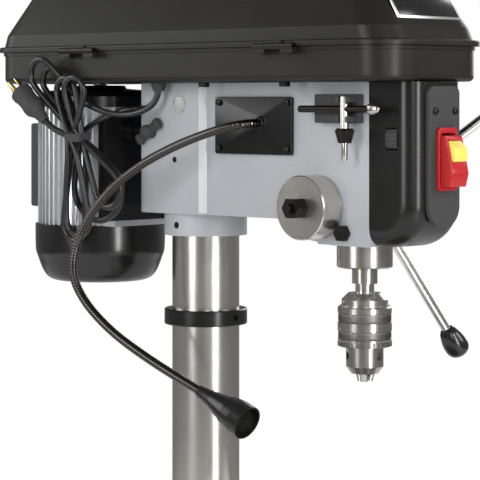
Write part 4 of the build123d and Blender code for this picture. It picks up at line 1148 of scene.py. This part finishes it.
@dataclass
class ScrewHeads:
    """Domed screw heads with a cross recess."""

    lamp_plate_x: float = -44.5
    panel_y: float = -329.0

    def spots(self) -> list[ScrewSpot]:
        """Every screw head.

        Returns:
            The list of heads.
        """
        left, front = Vector((-1, 0, 0)), Vector((0, -1, 0))
        found = [ScrewSpot(Vector((self.lamp_plate_x, -111.5 + y, 893.5 + z)), left, 3.4)
                 for y in (-48.5, 48.5) for z in (-24, 24)]
        found += [ScrewSpot(Vector((x, self.panel_y, 909)), front, 3.4) for x in (-15.5, 15.5)]
        return found

    def build(self) -> None:
        """Make all the heads as one piece."""
        mesh = bmesh.new()
        for spot in self.spots():
            self.head(mesh, spot)
        heads = finish_mesh(mesh, "screw_heads", Finish.BLACK_STEEL, "stand", 35.0)

    def head(self, mesh: bmesh.types.BMesh, spot: ScrewSpot) -> None:
        """Add one head.

        Args:
            mesh: The bmesh that gets it.
            spot: Where it goes.
        """
        place = axis_matrix(spot.place * MM, spot.way)
        r = spot.radius
        turned(mesh, [(r * 0.18, 2.15), (r * 0.3, 2.75), (r * 0.7, 2.45), (r * 0.95, 1.9), (r * 1.02, 1.2)],
               place, 24)
        for turn in (0, math.pi / 2):
            box(mesh, (r * 1.25, 0.75, 0.5), place @ Matrix.Rotation(turn, 4, "Z") @ Matrix.Translation(
                (0, 0, 2.62 * MM)), 0.1, 1)


# ------------------------------------------------------------------------------------ stage
class Studio:
    """Pale floor, white surround, soft boxes and camera."""

    camera_place = Vector((-1.634, -1.602, 0.920))
    camera_turn = math.atan2(0.7254, 0.6884)
    lens = 157.5
    rise = -140 / 480
    floor_radius = 2.4

    def build(self) -> None:
        """Set the stage."""
        self.floor()
        self.surround()
        self.light("left_box", (-2.5, 0.1, 1.4), (0.8, 1.7), 32)
        self.light("strip", (-0.50, -2.3, 1.15), (0.26, 1.9), 34)
        self.light("camera_box", (-2.0, -2.4, 1.6), (0.5, 1.4), 14)
        self.light("front_box", (1.2, -2.3, 1.9), (1.2, 1.2), 26)
        self.light("rear_box", (-1.4, 2.3, 1.7), (1.4, 1.6), 26)
        self.light("right_box", (2.6, 0.6, 1.6), (1.4, 1.6), 26)
        self.camera()

    def floor(self) -> None:
        """A round pale floor."""
        mesh = bmesh.new()
        bmesh.ops.create_circle(mesh, cap_ends=True, segments=128, radius=self.floor_radius)
        data = bpy.data.meshes.new("studio_floor")
        mesh.to_mesh(data)
        mesh.free()
        floor = bpy.data.objects.new("studio_floor", data)
        bpy.context.scene.collection.objects.link(floor)
        shader = Shader("studio_white")
        shader.set("Base Color", (0.92, 0.92, 0.92, 1))
        shader.set("Roughness", 0.7)
        data.materials.append(shader.material)

    def surround(self) -> None:
        """White seen directly, and a soft dim room for the reflections."""
        world = bpy.data.worlds.new("studio")
        bpy.context.scene.world = world
        world.use_nodes = True
        nodes, links = world.node_tree.nodes, world.node_tree.links
        seen = nodes["Background"]
        seen.inputs["Color"].default_value = (1, 1, 1, 1)
        seen.inputs["Strength"].default_value = 1.0
        room = nodes.new("ShaderNodeBackground")
        room.inputs["Color"].default_value = (1, 1, 1, 1)
        room.inputs["Strength"].default_value = 0.21
        mix = nodes.new("ShaderNodeMixShader")
        links.new(nodes.new("ShaderNodeLightPath").outputs["Is Camera Ray"], mix.inputs[0])
        links.new(room.outputs[0], mix.inputs[1])
        links.new(seen.outputs[0], mix.inputs[2])
        links.new(mix.outputs[0], nodes["World Output"].inputs["Surface"])

    def light(self, name: str, place: tuple[float, float, float], size: tuple[float, float], power: float,
              target: tuple[float, float, float] = (0, -0.05, 0.8)) -> None:
        """Add one soft box.

        Args:
            name: The light's name.
            place: Where it stands.
            size: Its width and height.
            power: Its power in watts.
            target: What it points at.
        """
        data = bpy.data.lights.new(name, "AREA")
        data.shape = "RECTANGLE"
        data.size, data.size_y = size
        data.energy = power
        lamp = bpy.data.objects.new(name, data)
        way = Vector(target) - Vector(place)
        lamp.matrix_world = Matrix.Translation(place) @ way.to_track_quat("-Z", "Y").to_matrix().to_4x4()
        bpy.context.scene.collection.objects.link(lamp)

    def camera(self) -> None:
        """A level camera with a shifted frame."""
        data = bpy.data.cameras.new("camera")
        data.lens = self.lens
        data.sensor_width = 36.0
        data.shift_y = self.rise
        data.clip_end = 50.0
        camera = bpy.data.objects.new("camera", data)
        camera.location = self.camera_place
        camera.rotation_euler = (math.pi / 2, 0, -self.camera_turn)
        bpy.context.scene.collection.objects.link(camera)
        bpy.context.scene.camera = camera
        bpy.context.scene.view_settings.view_transform = "Standard"


def dress(nodes: dict[str, bpy.types.Object]) -> None:
    """Give every CAD node its finish.

    Args:
        nodes: The frame's nodes by name.
    """
    for finish, names in NODE_FINISH.items():
        for name in names:
            node = nodes[name]
            node.data.materials.clear()
            node.data.materials.append(finish.material())
    LOG.info("dressed %d frame nodes", len(nodes))


def main() -> None:
    """Load the frame, then build each assembly and the stage."""
    logging.basicConfig(level=logging.INFO, format="%(name)s: %(message)s")
    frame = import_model()
    dress(frame["nodes"])
    Studio().build()
    assemblies = (MainsCord(), MotorLead(), WorkLamp(), ChuckSleeve(), ChuckKey(), FeedKnobs(), NamePlate(),
                  HeadStepHighlight(), SlideLock(), ScrewHeads(), *SOFTENED)
    for assembly in assemblies:
        assembly.build()
        LOG.info("built %s", type(assembly).__name__)


if __name__ == "__main__":
    main()
